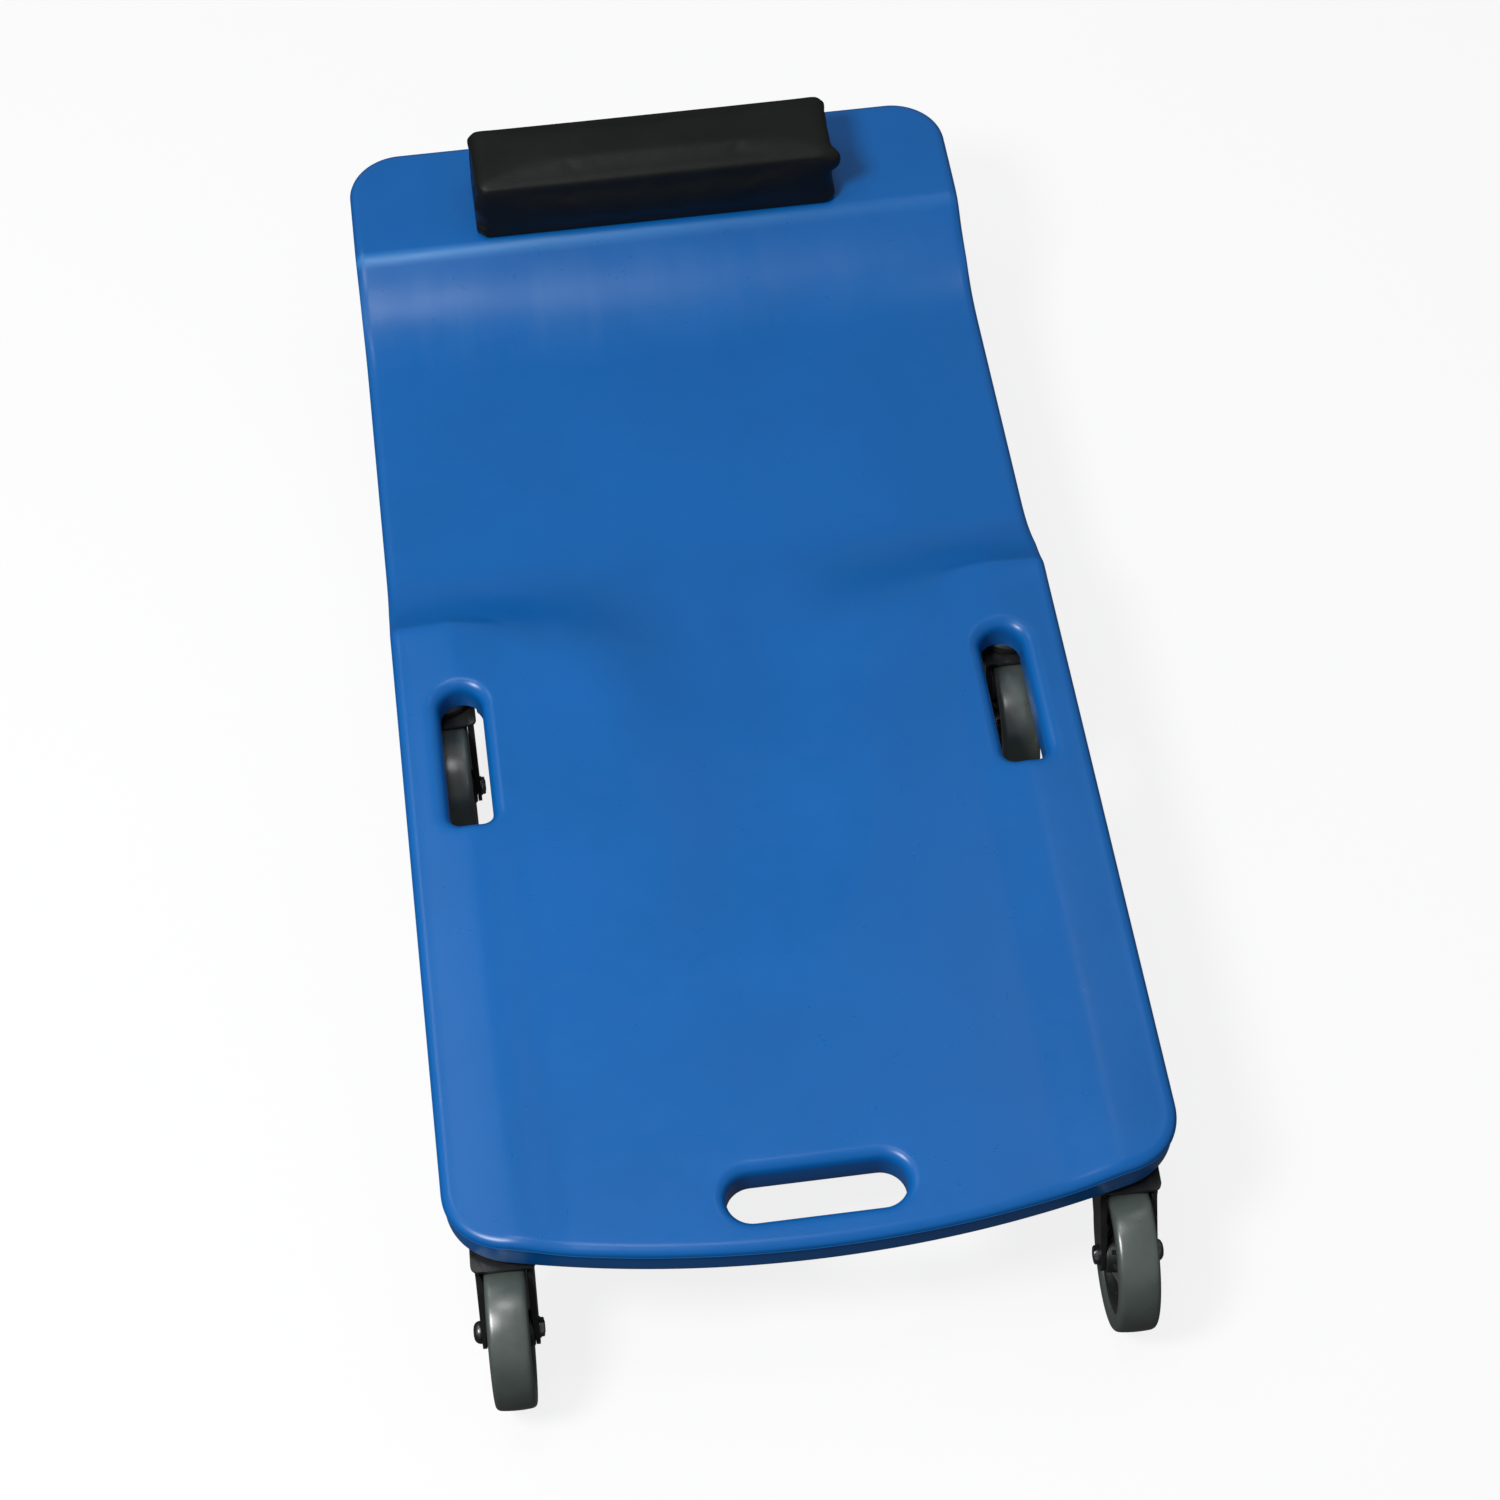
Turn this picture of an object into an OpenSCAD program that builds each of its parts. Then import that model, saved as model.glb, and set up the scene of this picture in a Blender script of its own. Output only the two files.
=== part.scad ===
// Mechanics creeper: a one-piece moulded deck with a padded headrest,
// rolling on swivel casters. Millimetres, +Z up, +Y towards the head end.
// The origin is on the floor, in the middle of the creeper's outline.

/* [Deck] */
// Full width of the deck
deck_w = 460; // [440:1:480]
// Radius of the head corners in plan
corner_r = 40; // [34:1:46]
// Radius of the foot corners in plan
foot_corner_r = 50; // [47:1:53]
// Radius of the rounded outer edge
edge_r = 13; // [8:1:13]
// Height of the side rails above the floor
rail_top = 133; // [132:0.5:136]
// Height of the centre panel between the rails
panel_top = 130; // [127:0.5:133]
// Height of the low shoulder section at its sides
low_top = 105; // [104:0.5:108]
// Height of the flat shelf that carries the headrest
shelf_top = 138; // [137:0.5:141]
// Height of the flat underside
under_z = 104; // [104:0.5:105]
// Depth of the near end of the body-shaped trough below the centre panel
trough_d = 4.5; // [3:0.5:7]
// Half width of the trough
trough_w = 92; // [84:1:98]

/* [Hand slots] */
// Length of the handle slot at the foot end
handle_l = 113; // [95:1:125]
// Width of the handle slot
handle_w = 33; // [28:1:36]
// Distance of the handle slot's middle from the origin
handle_y = -419; // [-421:0.5:-415]
// Width of each side grip slot
grip_w = 29; // [26:0.5:31]
// Near end of the side grip slots
grip_y0 = -121; // [-140:1:-110]
// Far end of the side grip slots
grip_y1 = -10; // [-16:1:-9]
// Middle of each side grip slot from the centre line
grip_x = 187; // [186:0.5:190]

/* [Casters] */
// Wheel diameter
wheel_d = 100; // [96:1:100]
// Width of the wheel's tread
tread_w = 25; // [22:0.5:26]
// Trail: distance from the swivel axis to the axle
trail = 43; // [42:0.5:45]
// Swivel axes of the foot and head pairs from the centre line
caster_x = 196; // [190:0.5:198]
// Swivel axes of the middle pair from the centre line
caster_mid_x = 198; // [194:0.5:200]
// Swivel axis of the foot pair along the deck
caster_foot_y = -408; // [-409:0.5:-404]
// Swivel axis of the middle pair along the deck
caster_mid_y = 6; // [5:0.5:9]
// Swivel axis of the head pair along the deck
caster_head_y = 421; // [412:0.5:424]
// Number of balls in each swivel race
ball_n = 14; // [10:1:14]

/* [Headrest] */
// Length of the headrest pad
pad_l = 276; // [250:1:290]
// Depth of the headrest pad, front to back
pad_d = 68; // [56:1:72]
// Height of the headrest pad above the shelf
pad_h = 54; // [44:1:58]
// Front face of the headrest pad
pad_y0 = 401; // [400:0.5:406]

/* [Hidden] */
foot_y = -462;
head_y = 502;
cx = deck_w / 2 - corner_r;
cxf = deck_w / 2 - foot_corner_r;
cyf = -390;
cyh = head_y - corner_r;
// The foot edge is an arc that runs into the corner arcs without a kink.
sag = cyf - foot_corner_r - foot_y;
arc_s = (cxf * cxf - sag * sag) / (2 * sag);
arc_c = arc_s + cyf;
arc_r = arc_c - foot_y;
arc_a = asin(cxf / (arc_r - foot_corner_r));

wheel_r = wheel_d / 2;
crown_top = 101.5;
crown_t = 3;
leg_out = 18;
leg_t = 2.5;
leg_in = leg_out - leg_t;
pin_r = 5;
run = 0.06;
ball_r = 2.5;
ball_pcr = 14;
cup_r = 20;
mount_z = 110;
insert_r = 9;
insert_z = 127;
axle_r = 4;
sleeve_r = 6;

casters = [
    ["foot_left", -caster_x, caster_foot_y, -2, -1, 21],
    ["foot_right", caster_x, caster_foot_y, -2.5, 1, 21],
    ["mid_left", -caster_mid_x, caster_mid_y, 0, -1, 30],
    ["mid_right", caster_mid_x, caster_mid_y, -2, 1, 30],
    ["head_left", -caster_x, caster_head_y, 0, -1, 22],
    ["head_right", caster_x, caster_head_y, 0, 1, 22]
];

// ---- Deck surface ----------------------------------------------------

function clamp01(t) = min(1, max(0, t));
function smooth(a, b, x) = let (t = clamp01((x - a) / (b - a))) t * t * (3 - 2 * t);
function smin(a, b, k) = (a + b - sqrt((a - b) * (a - b) + k * k)) / 2;
// Height of a concave arc of radius r, d past its lowest point
function rise(d, r) = let (e = min(max(d, 0), r * 0.97)) r - sqrt(r * r - e * e);

// Profile along the deck: from level h0 down the ramp to level low, and up the scoop to the shelf
function run_z(y, h0, low) = y < 200
    ? low + smin(h0 - low, rise(124 - y, 120), 3)
    : low + smin(shelf_top - low, rise(y - 298, 157), 5);

// The centre panel sinks to the shoulders more gradually than the rails
function panel_z(x, y) = let (n = smooth(100, 175, abs(x))) y < 200
    ? low_top - 2 + (panel_top - low_top + 2) * (1 - smooth(0, 1, (y - 4 - 26 * n) / (106 - 28 * n)))
    : run_z(y, panel_top, low_top - 2);

// Depth of the body-shaped trough below the centre panel
function trough(x, y) = let (
    hw = y < -60 ? trough_w * sqrt(max(0.0001, 1 - pow((y + 60) / 206, 2))) : trough_w + 0.25 * (y + 60),
    fall = trough_d * smooth(-264, -150, y) + (panel_top - low_top + 2 - trough_d) * smooth(-90, 112, y),
    depth = max(0, fall - panel_top + panel_z(0, y)) * (1 - smooth(108, 114, y))
) y < -264 || y > 114 ? 0 : depth * (1 - smooth(0.15, 1, abs(x) / hw));

function ztop(x, y) = let (
    a = abs(x),
    side = run_z(y, rail_top, low_top)
        - 2.8 * clamp01((a - 188) / 29) * (1 - smooth(20, 90, y)),
    mid = panel_z(x, y)
        - (y > 60 && y < 380 ? 2 * smooth(60, 130, y) * (1 - smooth(290, 380, y)) * (1 - pow(min(a, 217) / 217, 2)) : 0)
        - trough(x, y)
) mid + (side - mid) * smooth(172, 192, a);

function zbot(x, y) = let (
    low = 80,
    base = y < 200
        ? low + smin(under_z - low, rise(118 + 10 * smooth(150, 185, abs(x)) - y, 75), 1)
        : low + smin(under_z - low, rise(y - 300, 70), 1)
) min(under_z, base + 0.02) - trough(x, y);

// ---- Deck outline, inset by the edge radius ---------------------------

in_arc = arc_r - edge_r;
function on_round(x, y, r, a) = [[x + (r - edge_r) * cos(a), y + (r - edge_r) * sin(a)], [cos(a), sin(a)]];
function on_foot_corner(sx, a) = on_round(sx * cxf, cyf, foot_corner_r, a);
function on_head_corner(sx, a) = on_round(sx * cx, cyh, corner_r, a);
function on_foot(x) = let (a = asin(x / in_arc)) [[x, arc_c - in_arc * cos(a)], [sin(a), -cos(a)]];
foot_end = in_arc * sin(arc_a);
foot_x = [-foot_end, -178, -167, -150, -110, -75, -38, 0, 38, 75, 110, 150, 167, 178, foot_end];
row_y = [cyf, -330, -265, -200, -130, -70, -20, 20, 32, 40, 50, 64, 80, 98, 120, 160, 230, 298,
         320, 340, 358, 374, 386, 393, 402, 430, cyh];

foot_side = concat(
    [for (a = [225, 240]) on_foot_corner(-1, a)],
    [for (x = foot_x) on_foot(x)],
    [for (a = [300, 315]) on_foot_corner(1, a)]);
head_side = concat(
    [for (a = [135, 112]) on_head_corner(-1, a)],
    [for (x = foot_x) [[x * cx / foot_end, head_y - edge_r], [0, 1]]],
    [for (a = [68, 45]) on_head_corner(1, a)]);
function long_side(s) = concat(
    [for (a = s > 0 ? [315, 337] : [225, 203]) on_foot_corner(s, a)],
    [for (y = row_y) [[s * (deck_w / 2 - edge_r), y], [s, 0]]],
    [for (a = s > 0 ? [23, 45] : [157, 135]) on_head_corner(s, a)]);
left_side = long_side(-1);
right_side = long_side(1);

nu = len(foot_side) - 1;
nv = len(left_side) - 1;
function mix(a, b, t) = a * (1 - t) + b * t;
function along(list, k, i) = (list[i][0][k] - list[0][0][k]) / (list[len(list) - 1][0][k] - list[0][0][k]);
function plan(i, j) = let (
    u = along(foot_side, 0, i), v = along(left_side, 1, j),
    f = foot_side[i][0], h = head_side[i][0], l = left_side[j][0], r = right_side[j][0]
) mix(f, h, v) + mix(l, r, u)
    - mix(mix(foot_side[0][0], foot_side[nu][0], u), mix(head_side[0][0], head_side[nu][0], u), v);

rim = concat(
    [for (i = [0:nu - 1]) foot_side[i]],
    [for (j = [0:nv - 1]) right_side[j]],
    [for (i = [nu:-1:1]) head_side[i]],
    [for (j = [nv:-1:1]) left_side[j]]);
nr = len(rim);
// Index in the grid of each rim point
rim_at = concat(
    [for (i = [0:nu - 1]) i],
    [for (j = [0:nv - 1]) j * (nu + 1) + nu],
    [for (i = [nu:-1:1]) nv * (nu + 1) + i],
    [for (j = [nv:-1:1]) j * (nu + 1)]);
grid_n = (nu + 1) * (nv + 1);
rim_a = [60, 30, 0];

module deck_blank() {
    g = [for (j = [0:nv]) for (i = [0:nu]) plan(i, j)];
    top = [for (p = g) [p[0], p[1], ztop(p[0], p[1])]];
    bot = [for (p = g) [p[0], p[1], zbot(p[0], p[1])]];
    up = [for (a = rim_a) for (k = [0:nr - 1]) let (
        p = rim[k][0], n = rim[k][1], zt = ztop(p[0], p[1]), zb = zbot(p[0], p[1]),
        rz = min(edge_r, (zt - zb) / 2 - 0.5))
        [p[0] + n[0] * edge_r * cos(a), p[1] + n[1] * edge_r * cos(a), zt - rz + rz * sin(a)]];
    dn = [for (a = [0, 30, 60]) for (k = [0:nr - 1]) let (
        p = rim[k][0], n = rim[k][1], zt = ztop(p[0], p[1]), zb = zbot(p[0], p[1]),
        rz = min(edge_r, (zt - zb) / 2 - 0.5))
        [p[0] + n[0] * edge_r * cos(a), p[1] + n[1] * edge_r * cos(a), zb + rz - rz * sin(a)]];
    u0 = 2 * grid_n;
    rings = concat([rim_at],
        [for (m = [0:5]) [for (k = [0:nr - 1]) u0 + m * nr + k]],
        [[for (k = rim_at) grid_n + k]]);
    cells = [for (j = [0:nv - 1]) for (i = [0:nu - 1]) let (a = j * (nu + 1) + i) [a, a + 1, a + nu + 2, a + nu + 1]];
    faces = concat(
        [for (c = cells) [c[2], c[1], c[0]]],
        [for (c = cells) [c[3], c[2], c[0]]],
        [for (c = cells) [grid_n + c[0], grid_n + c[1], grid_n + c[2]]],
        [for (c = cells) [grid_n + c[0], grid_n + c[2], grid_n + c[3]]],
        [for (m = [0:6]) for (k = [0:nr - 1]) let (q = (k + 1) % nr) [rings[m][k], rings[m][q], rings[m + 1][q]]],
        [for (m = [0:6]) for (k = [0:nr - 1]) let (q = (k + 1) % nr) [rings[m][k], rings[m + 1][q], rings[m + 1][k]]]);
    polyhedron(points = concat(top, bot, up, dn), faces = faces, convexity = 8);
}

// Hand slot outline with a full round end or rounded corners at each end
module grip_shape() {
    r = grip_w / 2;
    q = 9;
    translate([0, grip_y1 - r]) circle(r = r, $fn = 64);
    for (s = [-1, 1]) translate([s * (r - q), grip_y0 + q]) circle(r = q, $fn = 48);
    translate([-r, grip_y0 + q]) square([grip_w, grip_y1 - r - grip_y0 - q]);
    translate([-r + q, grip_y0]) square([grip_w - 2 * q, q + 1]);
}

module handle_shape() {
    r = handle_w / 2;
    for (s = [-1, 1]) translate([s * (handle_l / 2 - r), 0]) circle(r = r, $fn = 64);
    translate([-handle_l / 2 + r, -r]) square([handle_l - 2 * r, handle_w]);
}

screw_x = [-95, 0, 95];
screw_y = pad_y0 + pad_d / 2;

module deck() {
    color([0.12, 0.37, 0.70]) difference() {
        deck_blank();
        for (s = [-1, 1]) translate([s * grip_x, 0, 60]) linear_extrude(height = 120) grip_shape();
        translate([0, handle_y, 60]) linear_extrude(height = 120) handle_shape();
        for (c = casters) {
            translate([c[1], c[2], 70]) cylinder(r = c[5], h = mount_z - 70, $fn = 96);
            translate([c[1], c[2], 90]) cylinder(r = insert_r + 0.05, h = insert_z + 0.5 - 90, $fn = 64);
        }
        for (x = screw_x) {
            translate([x, screw_y, 90]) cylinder(r = 2.7, h = 70, $fn = 32);
            translate([x, screw_y, 90]) cylinder(r = 7, h = 28, $fn = 48);
        }
    }
}

// ---- Headrest ----------------------------------------------------------

pad_z0 = shelf_top + 0.25;
pad_z1 = shelf_top + pad_h;
board_t = 7;

module headrest_cover() {
    r = 9;
    color([0.10, 0.11, 0.11]) difference() {
        hull() {
            for (sx = [-1, 1]) for (y = [pad_y0 + r, pad_y0 + pad_d - r]) {
                translate([sx * (pad_l / 2 - r), y, pad_z1 - r]) sphere(r = r, $fn = 24);
                translate([sx * (pad_l / 2 - r), y, pad_z0]) cylinder(r = r, h = 1, $fn = 24);
            }
        }
        translate([-pad_l / 2 + 4, pad_y0 + 4, pad_z0 - 10]) cube([pad_l - 8, pad_d - 8, pad_z1 - 4 - pad_z0 + 10]);
    }
}

module headrest_foam() {
    color([0.85, 0.80, 0.55])
        translate([-pad_l / 2 + 4.3, pad_y0 + 4.3, pad_z0 + board_t + 0.3])
            cube([pad_l - 8.6, pad_d - 8.6, pad_z1 - 4.3 - pad_z0 - board_t - 0.3]);
}

module headrest_board() {
    color([0.72, 0.56, 0.38]) difference() {
        translate([-pad_l / 2 + 4.3, pad_y0 + 4.3, pad_z0]) cube([pad_l - 8.6, pad_d - 8.6, board_t]);
        for (x = screw_x) translate([x, screw_y, pad_z0 - 1]) cylinder(r = 2.45, h = 6.5, $fn = 32);
    }
}

module headrest_screws() {
    color([0.55, 0.56, 0.58]) for (x = screw_x) translate([x, screw_y, 0]) {
        translate([0, 0, 117.95]) cylinder(r = 2.4, h = pad_z0 + 5 - 117.95, $fn = 32);
        difference() {
            translate([0, 0, 114.2]) cylinder(r = 5.6, h = 3.75, $fn = 48);
            translate([-4, -0.6, 113]) cube([8, 1.2, 2.4]);
            translate([-0.6, -4, 113]) cube([1.2, 8, 2.4]);
        }
    }
}

// ---- Caster: fixed pieces ----------------------------------------------

module stem_inserts() {
    color([0.75, 0.62, 0.32]) for (c = casters) translate([c[1], c[2], 0]) difference() {
        translate([0, 0, mount_z]) cylinder(r = insert_r, h = insert_z - mount_z, $fn = 64);
        translate([0, 0, mount_z - 1]) cylinder(r = pin_r + 0.05, h = 30, $fn = 64);
    }
}

module kingpins() {
    color([0.42, 0.43, 0.44]) for (c = casters) translate([c[1], c[2], 0]) {
        difference() {
            union() {
                translate([0, 0, 97.9]) cylinder(r = pin_r, h = insert_z - 1.5 - 97.9, $fn = 64);
                rotate_extrude($fn = 64) polygon([[0, 93], [5.5, 93], [8, 94.6], [8.5, 96.2], [8.5, 98.1], [0, 98.1]]);
            }
            translate([0, 0, 92]) cylinder(r = 3, h = 3.4, $fn = 6);
        }
    }
}

module raceway(k) {
    c = casters[k];
    color([0.30, 0.31, 0.32]) translate([c[1], c[2], 0]) difference() {
        rotate_extrude($fn = 96) polygon([
            [pin_r + 0.05, mount_z - 0.02], [cup_r - 2.5, mount_z - 0.02], [cup_r, mount_z - 2.6],
            [cup_r, 102.3], [cup_r - 1.6, 102.3], [cup_r - 1.6, 104.2], [pin_r + 0.05, 104.2]]);
        translate([0, 0, crown_top - 1.2 + 0.05 + ball_r])
            rotate_extrude($fn = 96) translate([ball_pcr, 0]) circle(r = ball_r + 0.06, $fn = 40);
    }
}

// ---- Caster: pieces that swivel ----------------------------------------

module at_swivel(k) {
    c = casters[k];
    translate([c[1], c[2], 0]) rotate([0, 0, c[3]]) children();
}

module swivel_balls(k) {
    color([0.70, 0.71, 0.72]) at_swivel(k)
        for (i = [0:ball_n - 1]) rotate([0, 0, i * 360 / ball_n])
            translate([ball_pcr, 0, crown_top - 1.2 + 0.05 + ball_r]) sphere(r = ball_r, $fn = 32);
}

// One fork leg as a side profile: y along the trail, z up
module leg_profile() {
    boss = 10.5;
    difference() {
        union() {
            polygon([[-26, crown_top], [22, crown_top], [22, 93], [18, 86],
                     [-trail + boss * cos(-20), wheel_r + boss * sin(-20)],
                     [-trail - boss * cos(28), wheel_r + boss * sin(28)], [-28.5, 90], [-26, 97]]);
            translate([-trail, wheel_r]) circle(r = boss, $fn = 64);
        }
        translate([-trail, wheel_r]) circle(r = axle_r + 0.05, $fn = 48);
    }
}

module fork(k) {
    color([0.10, 0.10, 0.10]) at_swivel(k) difference() {
        union() {
            translate([-leg_out, -26, crown_top - crown_t]) cube([2 * leg_out, 48, crown_t]);
            for (x = [-leg_out, leg_in]) translate([x, 0, 0])
                rotate([90, 0, 90]) linear_extrude(height = leg_t) leg_profile();
        }
        translate([0, 0, 90]) cylinder(r = pin_r + run, h = 20, $fn = 64);
        translate([0, 0, crown_top - 1.2 + 0.05 + ball_r])
            rotate_extrude($fn = 96) translate([ball_pcr, 0]) circle(r = ball_r + 0.05, $fn = 40);
    }
}

// The axle bolt has its domed head on the outer side of the creeper.
module at_axle(k) {
    at_swivel(k) translate([0, -trail, wheel_r]) rotate([0, casters[k][4] * 90, 0]) children();
}

module axle_bolt(k) {
    color([0.45, 0.46, 0.47]) at_axle(k) {
        translate([0, 0, -leg_out - 3.6]) cylinder(r = axle_r, h = 2 * leg_out + 3.7, $fn = 48);
        translate([0, 0, leg_out + 0.05]) rotate_extrude($fn = 64)
            polygon([[0, 0], [7, 0], [7, 1.6], [6.4, 3.2], [5, 4.4], [3, 5.1], [0, 5.3]]);
    }
}

module axle_nut(k) {
    color([0.50, 0.51, 0.52]) at_axle(k) difference() {
        union() {
            translate([0, 0, -leg_out - 0.95]) cylinder(r = 6.8, h = 0.9, $fn = 64);
            translate([0, 0, -leg_out - 3.2]) cylinder(r = 6.2, h = 2.3, $fn = 6);
        }
        translate([0, 0, -leg_out - 10]) cylinder(r = axle_r + 0.05, h = 20, $fn = 48);
    }
}

module axle_sleeve(k) {
    color([0.66, 0.67, 0.68]) at_axle(k) difference() {
        translate([0, 0, -leg_in + 0.05]) cylinder(r = sleeve_r, h = 2 * leg_in - 0.1, $fn = 64);
        translate([0, 0, -leg_in - 1]) cylinder(r = axle_r + 0.05, h = 2 * leg_in + 2, $fn = 48);
    }
}

// ---- Caster: wheel -------------------------------------------------------

rim_r = wheel_r - 12;

module tyre(k) {
    w = tread_w / 2;
    color([0.27, 0.30, 0.28]) at_axle(k) rotate_extrude($fn = 128) polygon([
        [rim_r, -w + 2], [rim_r + 1.5, -w + 0.4], [wheel_r - 4, -w], [wheel_r - 1.8, -w + 0.8],
        [wheel_r - 0.5, -w + 2.6], [wheel_r, -w + 5], [wheel_r, w - 5], [wheel_r - 0.5, w - 2.6],
        [wheel_r - 1.8, w - 0.8], [wheel_r - 4, w], [rim_r + 1.5, w - 0.4], [rim_r, w - 2]]);
}

module hub(k) {
    w = tread_w / 2;
    boss_l = leg_in - 0.4;
    color([0.13, 0.14, 0.14]) at_axle(k) difference() {
        union() {
            rotate_extrude($fn = 128) polygon([
                [sleeve_r + run, -boss_l], [11, -boss_l], [12, -boss_l + 1.5], [12.5, -4.5], [30, -3.5], [32, -w + 2.5],
                [rim_r - 0.05, -w + 2], [rim_r - 0.05, w - 2], [32, w - 2.5], [30, 3.5], [12.5, 4.5],
                [12, boss_l - 1.5], [11, boss_l], [sleeve_r + run, boss_l]]);
            for (i = [0:7]) rotate([0, 0, i * 45]) translate([11.5, -1.2, -8]) cube([20, 2.4, 16]);
        }
        translate([0, 0, -40]) cylinder(r = sleeve_r + run, h = 80, $fn = 64);
    }
}

// ---- Nodes ---------------------------------------------------------------

deck();
headrest_cover();
headrest_foam();
headrest_board();
headrest_screws();
stem_inserts();
kingpins();
raceway(0);  // raceway_foot_left
raceway(1);  // raceway_foot_right
raceway(2);  // raceway_mid_left
raceway(3);  // raceway_mid_right
raceway(4);  // raceway_head_left
raceway(5);  // raceway_head_right
swivel_balls(0);  // swivel_balls_foot_left
swivel_balls(1);  // swivel_balls_foot_right
swivel_balls(2);  // swivel_balls_mid_left
swivel_balls(3);  // swivel_balls_mid_right
swivel_balls(4);  // swivel_balls_head_left
swivel_balls(5);  // swivel_balls_head_right
fork(0);  // fork_foot_left
fork(1);  // fork_foot_right
fork(2);  // fork_mid_left
fork(3);  // fork_mid_right
fork(4);  // fork_head_left
fork(5);  // fork_head_right
axle_bolt(0);  // axle_bolt_foot_left
axle_bolt(1);  // axle_bolt_foot_right
axle_bolt(2);  // axle_bolt_mid_left
axle_bolt(3);  // axle_bolt_mid_right
axle_bolt(4);  // axle_bolt_head_left
axle_bolt(5);  // axle_bolt_head_right
axle_nut(0);  // axle_nut_foot_left
axle_nut(1);  // axle_nut_foot_right
axle_nut(2);  // axle_nut_mid_left
axle_nut(3);  // axle_nut_mid_right
axle_nut(4);  // axle_nut_head_left
axle_nut(5);  // axle_nut_head_right
axle_sleeve(0);  // axle_sleeve_foot_left
axle_sleeve(1);  // axle_sleeve_foot_right
axle_sleeve(2);  // axle_sleeve_mid_left
axle_sleeve(3);  // axle_sleeve_mid_right
axle_sleeve(4);  // axle_sleeve_head_left
axle_sleeve(5);  // axle_sleeve_head_right
tyre(0);  // tyre_foot_left
tyre(1);  // tyre_foot_right
tyre(2);  // tyre_mid_left
tyre(3);  // tyre_mid_right
tyre(4);  // tyre_head_left
tyre(5);  // tyre_head_right
hub(0);  // hub_foot_left
hub(1);  // hub_foot_right
hub(2);  // hub_mid_left
hub(3);  // hub_mid_right
hub(4);  // hub_head_left
hub(5);  // hub_head_right
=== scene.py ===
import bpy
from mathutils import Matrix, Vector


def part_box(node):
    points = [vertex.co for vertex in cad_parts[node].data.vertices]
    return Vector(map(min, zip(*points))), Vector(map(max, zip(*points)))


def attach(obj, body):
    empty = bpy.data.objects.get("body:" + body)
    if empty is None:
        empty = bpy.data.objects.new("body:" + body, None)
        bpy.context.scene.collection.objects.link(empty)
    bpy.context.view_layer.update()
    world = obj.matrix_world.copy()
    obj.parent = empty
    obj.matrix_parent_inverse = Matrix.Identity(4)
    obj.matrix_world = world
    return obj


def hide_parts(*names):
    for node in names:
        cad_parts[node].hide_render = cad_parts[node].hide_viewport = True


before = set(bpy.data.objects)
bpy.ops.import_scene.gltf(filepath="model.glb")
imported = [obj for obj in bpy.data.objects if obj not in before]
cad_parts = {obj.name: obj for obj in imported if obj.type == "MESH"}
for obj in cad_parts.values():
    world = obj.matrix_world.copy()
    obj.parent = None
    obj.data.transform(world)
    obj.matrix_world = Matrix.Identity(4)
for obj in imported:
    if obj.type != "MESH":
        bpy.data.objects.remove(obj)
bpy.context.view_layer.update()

import math

import bmesh
import bpy
import numpy as np
from mathutils import Matrix, Vector
from mathutils.geometry import delaunay_2d_cdt

scene = bpy.context.scene
scene.view_settings.view_transform = "Standard"
scene.view_settings.look = "None"
MM = 0.001


# ---------------------------------------------------------------- helpers

def link(obj):
    scene.collection.objects.link(obj)
    return obj


def mesh_object(name, verts_mm, faces, smooth=35.0):
    me = bpy.data.meshes.new(name)
    v = np.asarray(verts_mm, dtype=float) * MM
    me.from_pydata(v.tolist(), [], [list(map(int, f)) for f in faces])
    me.validate()
    me.update()
    shade(me, smooth)
    return link(bpy.data.objects.new(name, me))


def shade(me, angle):
    me.shade_smooth()
    me.set_sharp_from_angle(angle=math.radians(angle))


def baked(obj, name=None):
    """The object's mesh with its modifiers applied."""
    bpy.context.view_layer.update()
    dg = bpy.context.evaluated_depsgraph_get()
    me = bpy.data.meshes.new_from_object(obj.evaluated_get(dg), depsgraph=dg)
    me.name = name or obj.name
    return me


def bevel(obj, width_mm, segments=2, angle=35.0):
    m = obj.modifiers.new("edge", "BEVEL")
    m.width = width_mm * MM
    m.segments = segments
    m.limit_method = "ANGLE"
    m.angle_limit = math.radians(angle)
    m.harden_normals = True
    m.use_clamp_overlap = True
    return m


def sstep(a, b, x):
    t = np.clip((np.asarray(x, float) - a) / (b - a), 0, 1)
    return t * t * (3 - 2 * t)


def smin(a, b, k):
    return (a + b - np.sqrt((a - b) ** 2 + k * k)) / 2


def rise(d, r):
    e = np.clip(d, 0, 0.97 * r)
    return r - np.sqrt(r * r - e * e)


def inside(points, loop):
    """Which points lie inside a closed polygon."""
    x, y = points[:, 0], points[:, 1]
    res = np.zeros(len(points), bool)
    px, py = loop[:, 0], loop[:, 1]
    qx, qy = np.roll(px, -1), np.roll(py, -1)
    for ax, ay, bx, by in zip(px, py, qx, qy):
        if ay == by:
            continue
        cross = (ay > y) != (by > y)
        res ^= cross & (x < (bx - ax) * (y - ay) / (by - ay) + ax)
    return res


def near(points, loop, dist):
    """Which points lie within dist of a loop's vertices."""
    res = np.zeros(len(points), bool)
    for k in range(0, len(points), 4000):
        p = points[k:k + 4000]
        d = (p[:, None, 0] - loop[None, :, 0]) ** 2 + (p[:, None, 1] - loop[None, :, 1]) ** 2
        res[k:k + 4000] = d.min(axis=1) < dist * dist
    return res


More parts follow.
